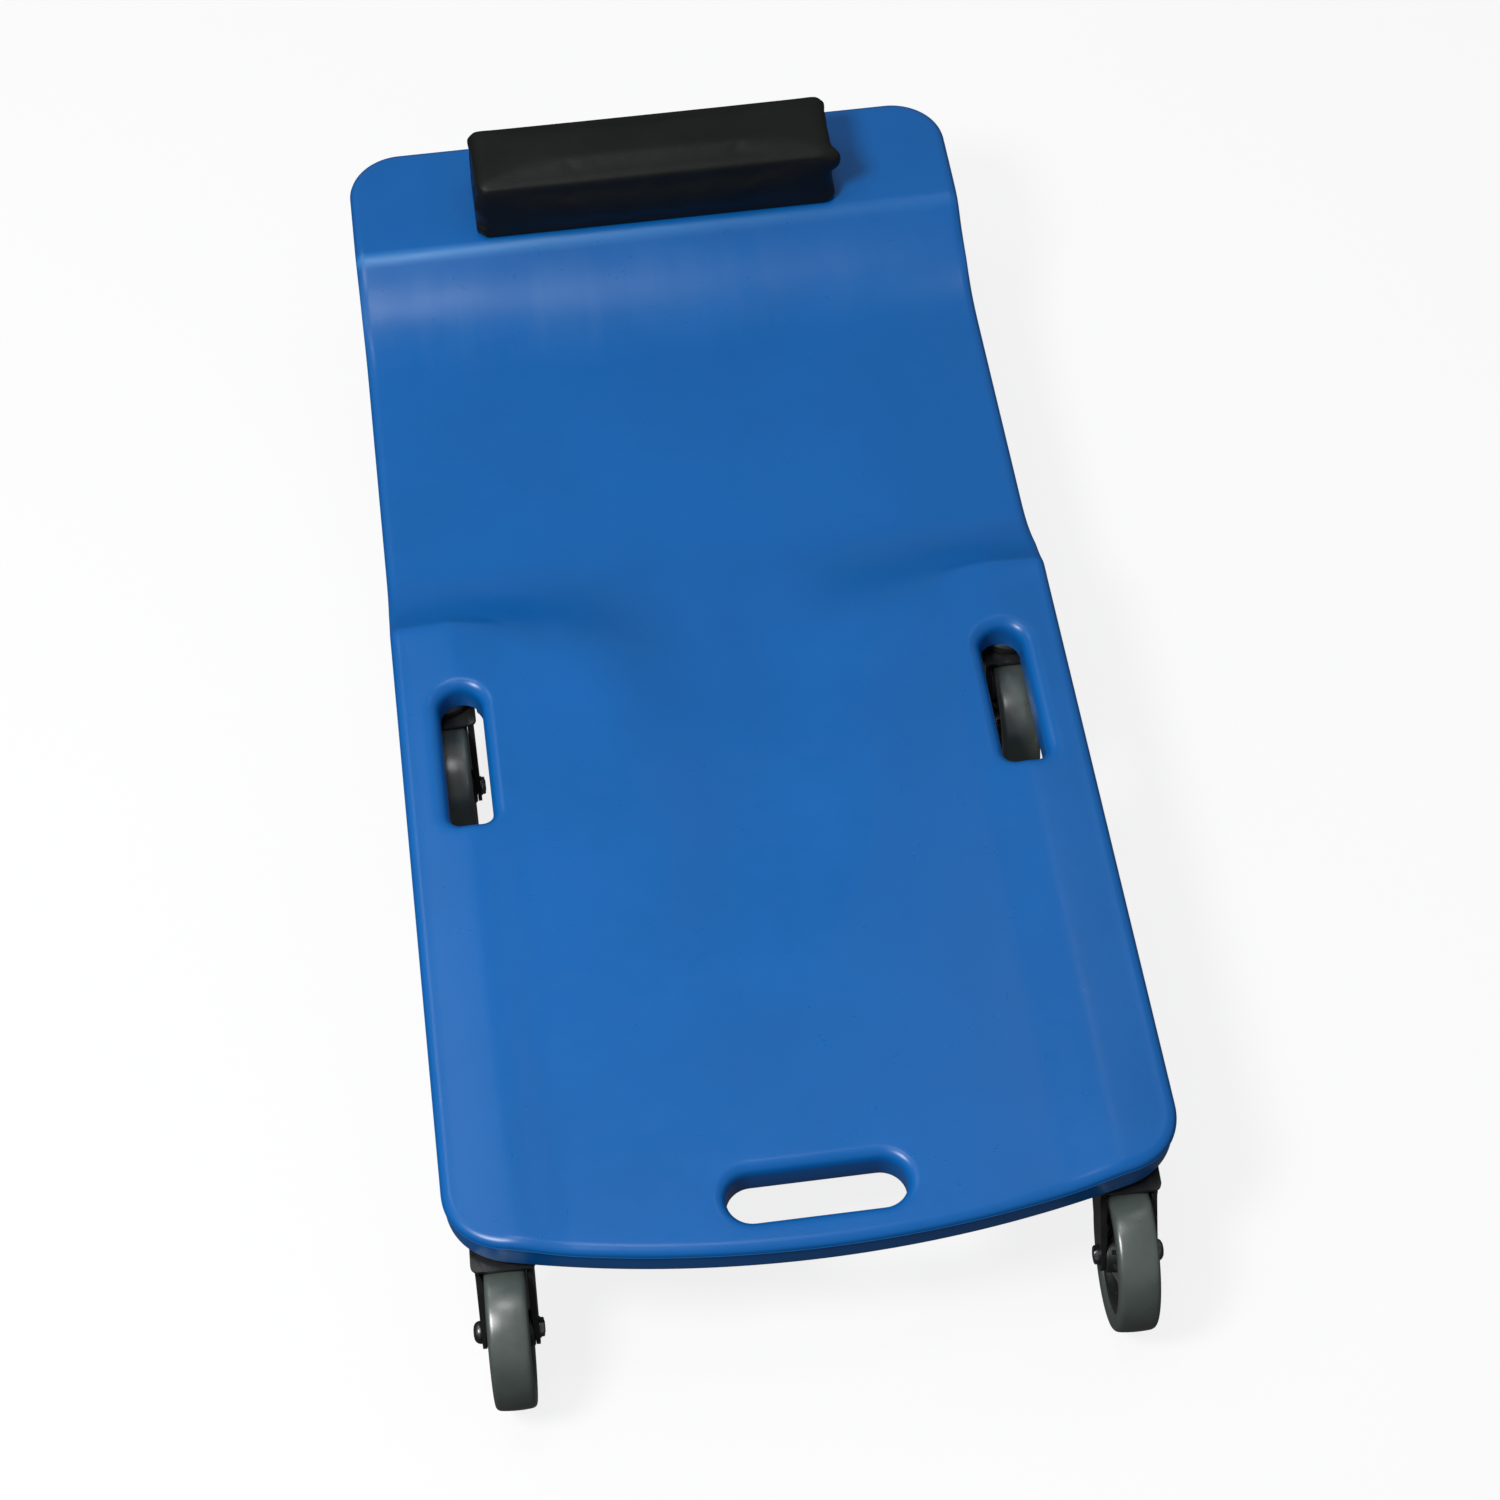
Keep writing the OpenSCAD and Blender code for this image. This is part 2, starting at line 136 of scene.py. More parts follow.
def fill(loops, holes, extra):
    """Triangles over the outer loop, less the holes, with extra points inside.
    Returns (points, triangles); the loops' points come first, in order."""
    pts = np.vstack([*loops, *holes, extra]) if len(extra) else np.vstack([*loops, *holes])
    edges, at = [], 0
    for lp in [*loops, *holes]:
        n = len(lp)
        edges += [(at + i, at + (i + 1) % n) for i in range(n)]
        at += n
    out = delaunay_2d_cdt([Vector(p) for p in pts.tolist()], edges, [], 0, 1e-7)
    ov, of_, orig = out[0], out[2], out[3]
    index = [o[0] if o else -1 for o in orig]
    assert min(index) >= 0, "a loop crosses itself"
    tri = np.array([[index[i] for i in f] for f in of_ if len(f) == 3])
    mid = pts[tri].mean(axis=1)
    keep = np.zeros(len(tri), bool)
    for lp in loops:
        keep |= inside(mid, lp)
    for h in holes:
        keep &= ~inside(mid, h)
    tri = tri[keep]
    a, b, c = pts[tri[:, 0]], pts[tri[:, 1]], pts[tri[:, 2]]
    area = (b[:, 0] - a[:, 0]) * (c[:, 1] - a[:, 1]) - (b[:, 1] - a[:, 1]) * (c[:, 0] - a[:, 0])
    tri[area < 0] = tri[area < 0][:, ::-1]
    return pts, tri[np.abs(area) > 1e-9]


def strip(a, b):
    """Quads between two closed rings of vertex indices of the same length."""
    n = len(a)
    return [(a[i], a[(i + 1) % n], b[(i + 1) % n], b[i]) for i in range(n)]


def lathe(profile, n, axis="z"):
    """Vertices and quads of a profile of (radius, height) points turned about an axis.
    A point of radius 0 closes the shape."""
    verts, faces, rings = [], [], []
    for r, h in profile:
        if r <= 1e-9:
            rings.append([len(verts)])
            verts.append((0, 0, h))
        else:
            rings.append(list(range(len(verts), len(verts) + n)))
            verts += [(r * math.cos(2 * math.pi * k / n), r * math.sin(2 * math.pi * k / n), h) for k in range(n)]
    for a, b in zip(rings, rings[1:]):
        for k in range(n):
            q = (k + 1) % n
            if len(a) == 1:
                faces.append((a[0], b[q], b[k]))
            elif len(b) == 1:
                faces.append((a[k], a[q], b[0]))
            else:
                faces.append((a[k], a[q], b[q], b[k]))
    v = np.array(verts, float)
    if axis == "x":
        v = v[:, [2, 0, 1]]
    return v, faces


def soft_profile(pts, r, seg=3):
    """A polyline with its inner corners rounded to about r."""
    pts = [np.array(p, float) for p in pts]
    out = [pts[0]]
    for a, b, c in zip(pts, pts[1:], pts[2:]):
        u, w = a - b, c - b
        lu, lw = np.linalg.norm(u), np.linalg.norm(w)
        d = min(r, lu * 0.45, lw * 0.45)
        p, q = b + u / lu * d, b + w / lw * d
        for k in range(seg + 1):
            t = k / seg
            out.append((1 - t) ** 2 * p + 2 * t * (1 - t) * b + t * t * q)
    out.append(pts[-1])
    return [tuple(p) for p in out]


# ---------------------------------------------------------------- materials

def material(name):
    m = bpy.data.materials.new(name)
    m.use_nodes = True
    nt = m.node_tree
    nt.nodes.clear()
    out = nt.nodes.new("ShaderNodeOutputMaterial")
    bsdf = nt.nodes.new("ShaderNodeBsdfPrincipled")
    nt.links.new(bsdf.outputs[0], out.inputs[0])
    return m, nt, bsdf


def coords(nt, scale=(1, 1, 1)):
    tc = nt.nodes.new("ShaderNodeTexCoord")
    mp = nt.nodes.new("ShaderNodeMapping")
    mp.inputs["Scale"].default_value = scale
    nt.links.new(tc.outputs["Object"], mp.inputs[0])
    return mp.outputs[0]


def noise_tex(nt, vec, scale, detail=3.0, rough=0.55):
    n = nt.nodes.new("ShaderNodeTexNoise")
    n.inputs["Scale"].default_value = scale
    n.inputs["Detail"].default_value = detail
    n.inputs["Roughness"].default_value = rough
    nt.links.new(vec, n.inputs["Vector"])
    return n.outputs[0]


def ramp(nt, fac, stops):
    r = nt.nodes.new("ShaderNodeValToRGB")
    r.color_ramp.interpolation = "EASE"
    e = r.color_ramp.elements
    while len(e) < len(stops):
        e.new(0.5)
    for el, (p, c) in zip(e, stops):
        el.position = p
        el.color = c if len(c) == 4 else (*c, 1)
    nt.links.new(fac, r.inputs[0])
    return r.outputs[0]


def remap(nt, fac, a, b, lo=0.3, hi=0.7):
    m = nt.nodes.new("ShaderNodeMapRange")
    m.inputs["From Min"].default_value = lo
    m.inputs["From Max"].default_value = hi
    m.inputs["To Min"].default_value = a
    m.inputs["To Max"].default_value = b
    nt.links.new(fac, m.inputs[0])
    return m.outputs[0]


def math_node(nt, op, a, b):
    m = nt.nodes.new("ShaderNodeMath")
    m.operation = op
    for i, v in enumerate((a, b)):
        if isinstance(v, (int, float)):
            m.inputs[i].default_value = v
        else:
            nt.links.new(v, m.inputs[i])
    return m.outputs[0]


def mixed(nt, fac, a, b):
    """Colours a and b mixed by fac; each is a socket or a colour."""
    m = nt.nodes.new("ShaderNodeMix")
    m.data_type = "RGBA"
    nt.links.new(fac, m.inputs[0])
    for i, v in ((6, a), (7, b)):
        if isinstance(v, (tuple, list)):
            m.inputs[i].default_value = (*v, 1)
        else:
            nt.links.new(v, m.inputs[i])
    return m.outputs[2]


def bump(nt, bsdf, *layers):
    """Bump layers of (height socket, strength, distance in metres)."""
    last = None
    for h, s, d in layers:
        b = nt.nodes.new("ShaderNodeBump")
        b.inputs["Strength"].default_value = s
        b.inputs["Distance"].default_value = d
        nt.links.new(h, b.inputs["Height"])
        if last is not None:
            nt.links.new(last, b.inputs["Normal"])
        last = b.outputs[0]
    nt.links.new(last, bsdf.inputs["Normal"])


def edges_of(nt, lo=0.5, hi=0.56):
    g = nt.nodes.new("ShaderNodeNewGeometry")
    return remap(nt, g.outputs["Pointiness"], 0.0, 1.0, lo, hi)


def mat_deck():
    m, nt, b = material("deck_blue")
    v = coords(nt)
    cloud = noise_tex(nt, v, 9.0, 4.0)
    base = ramp(nt, cloud, [(0.3, (0.0012, 0.096, 0.338)), (0.7, (0.0015, 0.104, 0.366))])
    # painted sheen: faint pale streaks down the scoop, stronger on the left, painted paler where the light's sheen
    # falls
    streak = noise_tex(nt, coords(nt, (46, 5.0, 5.0)), 1.0, 5.0, 0.6)
    sep = nt.nodes.new("ShaderNodeSeparateXYZ")
    nt.links.new(v, sep.inputs[0])
    zone = math_node(nt, "MULTIPLY", remap(nt, sep.outputs[1], 0, 1, 0.29, 0.345), remap(nt, sep.outputs[1], 1, 0, 0.375, 0.392))
    zone = math_node(nt, "MULTIPLY", zone, remap(nt, sep.outputs[0], 1.0, 0.25, -0.2, 0.15))
    painted_sheen = math_node(nt, "MULTIPLY", zone, remap(nt, streak, 0.0, 0.30, 0.40, 0.70))
    base = mixed(nt, painted_sheen, base, (0.055, 0.17, 0.42))
    # painted highlight: the ridge line above the scoop is painted paler, most on the left, where the light catches it
    wear_and_painted_highlight = math_node(nt, "MULTIPLY", remap(nt, sep.outputs[1], 0, 1, 0.3885, 0.394), remap(nt, sep.outputs[1], 1, 0, 0.396, 0.4015))
    wear_and_painted_highlight = math_node(nt, "MULTIPLY", wear_and_painted_highlight, remap(nt, sep.outputs[0], 0.28, 0.07, -0.16, 0.16))
    base = mixed(nt, wear_and_painted_highlight, base, (0.09, 0.36, 0.72))
    # scuffed, slightly paler high edges
    scuff = math_node(nt, "MULTIPLY", edges_of(nt, 0.53, 0.62), remap(nt, noise_tex(nt, v, 60.0, 5.0), 0.0, 0.22, 0.45, 0.7))
    base = mixed(nt, scuff, base, (0.10, 0.22, 0.42))
    nt.links.new(base, b.inputs["Base Color"])
    rough = noise_tex(nt, v, 55.0, 5.0, 0.6)
    nt.links.new(remap(nt, rough, 0.27, 0.33), b.inputs["Roughness"])
    b.inputs["IOR"].default_value = 1.5
    b.inputs["Specular IOR Level"].default_value = 0.37
    grain = noise_tex(nt, v, 700.0, 2.0, 0.5)
    peel = noise_tex(nt, v, 120.0, 2.0, 0.5)
    bump(nt, b, (peel, 0.02, 0.0008), (grain, 0.03, 0.0002))
    return m


def mat_vinyl():
    m, nt, b = material("black_vinyl")
    v = coords(nt)
    cloud = noise_tex(nt, v, 25.0, 4.0)
    nt.links.new(ramp(nt, cloud, [(0.3, (0.0050, 0.0056, 0.0054)), (0.7, (0.0072, 0.0078, 0.0075))]), b.inputs["Base Color"])
    vor = nt.nodes.new("ShaderNodeTexVoronoi")
    vor.feature = "DISTANCE_TO_EDGE"
    vor.inputs["Scale"].default_value = 850.0
    nt.links.new(v, vor.inputs["Vector"])
    cell = remap(nt, vor.outputs[0], 0.0, 1.0, 0.0, 0.22)
    nt.links.new(remap(nt, cell, 0.50, 0.37, 0.0, 1.0), b.inputs["Roughness"])
    b.inputs["IOR"].default_value = 1.45
    b.inputs["Specular IOR Level"].default_value = 0.21
    wrinkle = noise_tex(nt, coords(nt, (30, 55, 55)), 1.0, 4.0, 0.6)
    bump(nt, b, (wrinkle, 0.12, 0.002), (cell, 0.25, 0.00025))
    return m


def mat_tread():
    m, nt, b = material("grey_tread")
    v = coords(nt)
    cloud = noise_tex(nt, v, 40.0, 5.0)
    base = ramp(nt, cloud, [(0.3, (0.055, 0.069, 0.061)), (0.7, (0.070, 0.086, 0.077))])
    nt.links.new(base, b.inputs["Base Color"])
    nt.links.new(remap(nt, noise_tex(nt, v, 160.0, 5.0, 0.65), 0.27, 0.33), b.inputs["Roughness"])
    b.inputs["IOR"].default_value = 1.5
    b.inputs["Specular IOR Level"].default_value = 0.85
    bump(nt, b, (noise_tex(nt, v, 900.0, 2.0), 0.08, 0.0002))
    return m


def mat_steel_black():
    m, nt, b = material("black_steel")
    v = coords(nt)
    cloud = noise_tex(nt, v, 70.0, 4.0)
    base = ramp(nt, cloud, [(0.3, (0.0075, 0.0078, 0.0078)), (0.7, (0.0115, 0.012, 0.012))])
    # painted highlight and wear: sharp edges painted paler, partly edge wear, partly the thin light lines the edges
    # catch
    wear_and_painted_highlight = math_node(nt, "MULTIPLY", edges_of(nt, 0.53, 0.64), remap(nt, noise_tex(nt, v, 210.0, 4.0), 0.35, 0.9, 0.35, 0.65))
    base = mixed(nt, wear_and_painted_highlight, base, (0.10, 0.106, 0.103))
    nt.links.new(base, b.inputs["Base Color"])
    nt.links.new(remap(nt, noise_tex(nt, v, 300.0, 3.0), 0.30, 0.42), b.inputs["Roughness"])
    bump(nt, b, (noise_tex(nt, v, 1100.0, 2.0), 0.06, 0.0002))
    return m


def mat_hub():
    m, nt, b = material("hub_black")
    v = coords(nt)
    nt.links.new(ramp(nt, noise_tex(nt, v, 60.0, 4.0), [(0.3, (0.0085, 0.0095, 0.0092)), (0.7, (0.0125, 0.0135, 0.013))]), b.inputs["Base Color"])
    nt.links.new(remap(nt, noise_tex(nt, v, 220.0, 4.0), 0.40, 0.54), b.inputs["Roughness"])
    bump(nt, b, (noise_tex(nt, v, 1300.0, 2.0), 0.08, 0.0002))
    return m


def mat_metal(name, dark, light, r0, r1, turned=0.0):
    m, nt, b = material(name)
    v = coords(nt)
    base = ramp(nt, noise_tex(nt, v, 140.0, 5.0), [(0.3, dark), (0.7, light)])
    nt.links.new(base, b.inputs["Base Color"])
    b.inputs["Metallic"].default_value = 1.0
    nt.links.new(remap(nt, noise_tex(nt, v, 420.0, 4.0), r0, r1), b.inputs["Roughness"])
    fine = noise_tex(nt, coords(nt, (1, 1, 9)), 500.0, 2.0)
    bump(nt, b, (fine, 0.05 + turned, 0.00015))
    return m


def mat_foam():
    m, nt, b = material("foam")
    v = coords(nt)
    vor = nt.nodes.new("ShaderNodeTexVoronoi")
    vor.inputs["Scale"].default_value = 900.0
    nt.links.new(v, vor.inputs["Vector"])
    nt.links.new(ramp(nt, vor.outputs[0], [(0.0, (0.42, 0.34, 0.14)), (0.6, (0.78, 0.70, 0.42))]), b.inputs["Base Color"])
    b.inputs["Roughness"].default_value = 0.95
    bump(nt, b, (vor.outputs[0], 0.6, 0.0006))
    return m


def mat_board():
    m, nt, b = material("board")
    grain = noise_tex(nt, coords(nt, (9, 130, 130)), 1.0, 6.0, 0.6)
    nt.links.new(ramp(nt, grain, [(0.25, (0.36, 0.22, 0.10)), (0.75, (0.60, 0.43, 0.25))]), b.inputs["Base Color"])
    nt.links.new(remap(nt, grain, 0.6, 0.8), b.inputs["Roughness"])
    bump(nt, b, (grain, 0.2, 0.0004))
    return m


def mat_floor():
    m, nt, b = material("studio_floor")
    v = coords(nt)
    base = ramp(nt, noise_tex(nt, v, 1.3, 3.0), [(0.3, (0.118, 0.118, 0.118)), (0.7, (0.122, 0.122, 0.122))])
    nt.links.new(base, b.inputs["Base Color"])
    b.inputs["Roughness"].default_value = 0.9
    b.inputs["Specular IOR Level"].default_value = 0.1
    b.inputs["Emission Color"].default_value = (1, 1, 1, 1)
    b.inputs["Emission Strength"].default_value = 0.84
    m.cycles.emission_sampling = "NONE"
    return m


MAT = {
    "deck_blue": mat_deck(),
    "black_vinyl": mat_vinyl(),
    "grey_tread": mat_tread(),
    "black_steel": mat_steel_black(),
    "hub_black": mat_hub(),
    "dark_steel": mat_metal("dark_steel", (0.10, 0.10, 0.105), (0.19, 0.19, 0.195), 0.26, 0.42),
    "zinc_steel": mat_metal("zinc_steel", (0.46, 0.47, 0.48), (0.62, 0.63, 0.64), 0.24, 0.40),
    "brass_insert": mat_metal("brass_insert", (0.55, 0.38, 0.13), (0.74, 0.55, 0.24), 0.24, 0.38, 0.08),
    "ball_steel": mat_metal("ball_steel", (0.62, 0.62, 0.64), (0.74, 0.74, 0.76), 0.10, 0.18),
    "foam": mat_foam(),
    "board": mat_board(),
}


def dress(obj, slot_name):
    obj.data.materials.clear()
    obj.data.materials.append(MAT[slot_name])
    return obj


# ---------------------------------------------------------------- deck

SHELF, PANEL, RAIL, LOW, UNDER = 138.0, 130.0, 133.0, 105.0, 104.0
HALF, FOOT_Y, HEAD_Y = 230.0, -462.0, 502.0
FOOT_R, HEAD_R, EDGE = 50.0, 40.0, 7.6
CXF, CYF = HALF - FOOT_R, -390.0
SAG = CYF - FOOT_R - FOOT_Y
ARC_C = (CXF ** 2 - SAG ** 2) / (2 * SAG) + CYF
ARC_R = ARC_C - FOOT_Y
ARC_A = math.asin(CXF / (ARC_R - FOOT_R))


def run_z(y, h0, low):
    a = low + smin(h0 - low, rise(124 - y, 120), 3)
    b = low + smin(SHELF - low, rise(y - 299, 157), 6)
    s = sstep(150, 250, y)
    return a * (1 - s) + b * s


def panel_z(x, y):
    """The centre panel, which sinks to the shoulders more gradually than the rails."""
    near_rail = sstep(100, 175, np.abs(x))
    t = sstep(0, 1, (y - 4 - 26 * near_rail) / (106 - 28 * near_rail))
    s = sstep(150, 250, y)
    return (LOW - 2 + (PANEL - LOW + 2) * (1 - t)) * (1 - s) + run_z(y, PANEL, LOW - 2) * s


def trough(x, y):
    hw = np.where(y < -60, 92 * np.sqrt(np.maximum(1e-4, 1 - ((np.minimum(y, -60) + 60) / 206) ** 2)), 92 + 0.25 * (y + 60))
    fall = 4.5 * sstep(-264, -150, y) + 22.5 * sstep(-90, 112, y)
    depth = np.maximum(0, fall - PANEL + panel_z(0 * x, y)) * (1 - sstep(108, 114, y))
    return depth * (1 - sstep(0.15, 1.0, np.abs(x) / hw))


def ztop(x, y):
    a = np.abs(x)
    out = np.maximum(0, a - 186)
    side = run_z(y, RAIL + 0.3, LOW) - 0.112 * out * out / (out + 5) * (1 - sstep(20, 90, y))
    dish = 2 * sstep(60, 130, y) * (1 - sstep(290, 380, y)) * (1 - (np.minimum(a, 217) / 217) ** 2)
    mid = panel_z(x, y) - dish - trough(x, y)
    q = sstep(58, 105, y)
    b = a - rise(np.minimum(y, 52) - 40, 13)
    w = sstep(150, 190, b) * (1 - q) + sstep(60, 217, a) * q
    return mid + (side - mid) * w


def zbot(x, y):
    a = 80 + smin(UNDER - 80, rise(118 + 10 * sstep(150, 185, np.abs(x)) - y, 75), 1)
    b = 80 + smin(UNDER - 80, rise(y - 300, 70), 1)
    s = sstep(180, 240, y)
    return np.minimum(UNDER, a * (1 - s) + b * s + 0.02) - trough(x, y)


def side_rows():
    """Positions along the deck's side, closer together where its profile bends."""
    ys = [CYF]
    while ys[-1] < HEAD_Y - HEAD_R:
        y = ys[-1]
        fine = 12 < y < 110 or 372 < y < 408
        ys.append(y + (2.0 if fine else 4.0))
    ys[-1] = HEAD_Y - HEAD_R
    if ys[-1] - ys[-2] < 1.0:
        del ys[-2]
    return np.array(ys)


def outline():
    """Points and outward normals round the deck, anticlockwise from the left foot corner."""
    p = []
    for t in np.linspace(-ARC_A, ARC_A, 97)[:-1]:
        p.append((ARC_R * math.sin(t), ARC_C - ARC_R * math.cos(t), math.sin(t), -math.cos(t)))
    for t in np.linspace(-math.pi / 2 + ARC_A, 0, 33)[:-1]:
        p.append((CXF + FOOT_R * math.cos(t), CYF + FOOT_R * math.sin(t), math.cos(t), math.sin(t)))
    rows = side_rows()
    for y in rows[:-1]:
        p.append((HALF, y, 1.0, 0.0))
    for t in np.linspace(0, math.pi / 2, 33)[:-1]:
        p.append((HALF - HEAD_R + HEAD_R * math.cos(t), HEAD_Y - HEAD_R + HEAD_R * math.sin(t), math.cos(t), math.sin(t)))
    for x in np.linspace(HALF - HEAD_R, HEAD_R - HALF, 97)[:-1]:
        p.append((x, HEAD_Y, 0.0, 1.0))
    for t in np.linspace(math.pi / 2, math.pi, 33)[:-1]:
        p.append((HEAD_R - HALF + HEAD_R * math.cos(t), HEAD_Y - HEAD_R + HEAD_R * math.sin(t), math.cos(t), math.sin(t)))
    for y in rows[::-1][:-1]:
        p.append((-HALF, y, -1.0, 0.0))
    for t in np.linspace(math.pi, 1.5 * math.pi - ARC_A, 33)[:-1]:
        p.append((-CXF + FOOT_R * math.cos(t), CYF + FOOT_R * math.sin(t), math.cos(t), math.sin(t)))
    return np.array(p)


def arc(cx, cy, r, a0, a1, n):
    return [(cx + r * math.cos(a), cy + r * math.sin(a), math.cos(a), math.sin(a)) for a in np.linspace(a0, a1, n)]


def straight(p0, p1, n, normal):
    return [(p0[0] + (p1[0] - p0[0]) * k / n, p0[1] + (p1[1] - p0[1]) * k / n, *normal) for k in range(1, n)]


def handle_loop():
    r, h, y = 16.5, 113 / 2 - 16.5, -419.0
    p = arc(h, y, r, -math.pi / 2, math.pi / 2, 25)
    p += straight((h, y + r), (-h, y + r), 32, (0, 1))
    p += arc(-h, y, r, math.pi / 2, 1.5 * math.pi, 25)
    p += straight((-h, y - r), (h, y - r), 32, (0, -1))
    return np.array(p)


def grip_loop(sx):
    r, q, y0, y1, gx = 14.5, 9.0, -121.0, -10.0, sx * 187.0
    top = y1 - r
    p = arc(gx, top, r, 0, math.pi, 33)
    p += straight((gx - r, top), (gx - r, y0 + q), 34, (-1, 0))
    p += arc(gx - r + q, y0 + q, q, math.pi, 1.5 * math.pi, 13)
    p += straight((gx - r + q, y0), (gx + r - q, y0), 5, (0, -1))
    p += arc(gx + r - q, y0 + q, q, -math.pi / 2, 0, 13)
    p += straight((gx + r, y0 + q), (gx + r, top), 34, (1, 0))
    return np.array(p)


def spaced(lo, hi, step, zones):
    """Grid positions from lo to hi; zones of (from, to, step) are finer."""
    v = [lo]
    while v[-1] < hi:
        s = step
        for a, b, z in zones:
            if a <= abs(v[-1]) <= b if a >= 0 else a <= v[-1] <= b:
                s = min(s, z)
        v.append(v[-1] + s)
    return np.array(v)


def deck_mesh():
    V, F = [], []

    def add(points):
        start = len(V)
        V.extend(map(tuple, points))
        return list(range(start, len(V)))

    # outer edge: upper round, thin moulding seam, lower round
    o = outline()
    P, N = o[:, :2], o[:, 2:]
    P[:, 1] += 4.6 * np.maximum(0, -N[:, 1]) ** 2
    inner = P - N * EDGE
    zt, zb = ztop(inner[:, 0], inner[:, 1]), zbot(inner[:, 0], inner[:, 1])
    zp = zt - np.minimum(5.6, 0.255 * (zt - zb))
    rings = []
    for a in np.linspace(90, 0, 13):
        c, s = math.cos(math.radians(a)), math.sin(math.radians(a))
        rings.append((EDGE * (1 - c), zp + 0.6 + (zt - zp - 0.6) * s))
    rings.append((-0.30, zp + 0.35))
    rings.append((-0.30, zp - 0.35))
    rings.append((0.55, zp - 0.8))
    rings.append((0.70, (zp + zb) / 2))
    for a in np.linspace(0, 90, 8):
        c, s = math.cos(math.radians(a)), math.sin(math.radians(a))
        rings.append((0.9 + 4.5 * (1 - c), zb + 4.5 * (1 - s)))
    idx = []
    for inset, z in rings:
        q = P - N * inset
        idx.append(add(np.column_stack([q, np.broadcast_to(z, len(q))])))
    for a, b in zip(idx, idx[1:]):
        F.extend((f[0], f[3], f[2], f[1]) for f in strip(a, b))
    rim_top, rim_bot = idx[0], idx[-1]

    # hand slots: soft upper lip, wall, small lower edge
    slots = []
    for loop, lip in ((handle_loop(), 8.0), (grip_loop(-1), 9.0), (grip_loop(1), 9.0)):
        S, M = loop[:, :2], loop[:, 2:]
        rows = []
        far = S + M * lip
        z0 = ztop(far[:, 0], far[:, 1])
        for a in np.linspace(0, 90, 10):
            c, s = math.cos(math.radians(a)), math.sin(math.radians(a))
            q = S + M * lip * (1 - s)
            rows.append(np.column_stack([q, z0 - lip * (1 - c)]))
        low = S + M * 3.0
        zl = zbot(low[:, 0], low[:, 1])
        for a in np.linspace(0, 90, 5):
            c, s = math.cos(math.radians(a)), math.sin(math.radians(a))
            q = S + M * 3.0 * (1 - c)
            rows.append(np.column_stack([q, zl + 3.0 * (1 - s)]))
        ring = [add(r) for r in rows]
        for a, b in zip(ring, ring[1:]):
            F.extend(strip(a, b))
        slots.append((ring[0], ring[-1]))

    V2 = np.array(V)

    def cover(outer, holes, xs, ys, height, flip, margin):
        gx, gy = np.meshgrid(xs, ys)
        g = np.column_stack([gx.ravel(), gy.ravel()])
        lo = V2[outer][:, :2]
        g = g[inside(g, lo)]
        g = g[~near(g, lo, margin)]
        hl = [V2[h][:, :2] for h in holes]
        for h in hl:
            g = g[~inside(g, h)]
            g = g[~near(g, h, margin)]
        pts, tri = fill([lo], hl, g)
        ids = list(outer)
        for h in holes:
            ids += list(h)
        new = add(np.column_stack([g, height(g[:, 0], g[:, 1])]))
        ids = np.array(ids + new)
        t = ids[tri]
        F.extend(map(tuple, t[:, ::-1] if flip else t))

    xs = spaced(-226, 226, 4.0, [(168, 200, 2.2)])
    ys = spaced(-470, 500, 4.0, [(-1e9, -1e9, 1)])
    fine = [y for y in ys if not (14 < y < 70 or 376 < y < 404)]
    ys = np.array(sorted(fine + list(np.arange(15, 70, 2.2)) + list(np.arange(377, 404, 1.8))))
    cover(rim_top, [s[0] for s in slots], xs, ys, ztop, False, 1.9)
    cover(rim_bot, [s[1] for s in slots], spaced(-226, 226, 7.0, []), spaced(-470, 500, 7.0, []), zbot, True, 3.0)
    return V, F


CASTERS = [
    ("foot_left", -196.0, -408.0, -2.0, -1, 21.0), ("foot_right", 196.0, -408.0, -2.5, 1, 21.0),
    ("mid_left", -198.0, 6.0, 0.0, -1, 30.0), ("mid_right", 198.0, 6.0, -2.0, 1, 30.0),
    ("head_left", -196.0, 421.0, 0.0, -1, 22.0), ("head_right", 196.0, 421.0, 0.0, 1, 22.0),
]


def deck_cutters():
    """Caster recesses and screw holes, as closed turned shapes."""
    V, F = [], []

    def put(profile, n, x, y):
        v, f = lathe(profile, n)
        k = len(V)
        V.extend(map(tuple, v + np.array([x, y, 0])))
        F.extend(tuple(i + k for i in q) for q in f)

    for name, x, y, a, s, r in CASTERS:
        put([(0, 62), (r + 1.4, 62), (r + 1.4, 103.6), (r + 0.35, 104.9), (r, 106.0), (r, 109.3), (r - 0.7, 110),
             (9.05, 110), (9.05, 127.5), (0, 127.5)], 72, x, y)
    for x in (-95, 0, 95):
        put([(0, 62), (8.0, 62), (8.0, 103.8), (7.0, 104.8), (7.0, 118), (2.7, 118), (2.7, 150), (0, 150)], 40, x, 435)
    return V, F


dv, df = deck_mesh()
blank = mesh_object("deck_blank", dv, df)
cv, cf = deck_cutters()
cutter = mesh_object("deck_cutters", cv, cf)
cut = blank.modifiers.new("cut", "BOOLEAN")
cut.operation = "DIFFERENCE"
cut.solver = "EXACT"
cut.object = cutter
me = baked(blank, "deck_body")
shade(me, 38.0)
deck = link(bpy.data.objects.new("deck_body", me))
for o in (blank, cutter):
    bpy.data.objects.remove(o)
dress(deck, "deck_blue")
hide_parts("deck")
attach(deck, "deck_assembly")


# ---------------------------------------------------------------- headrest

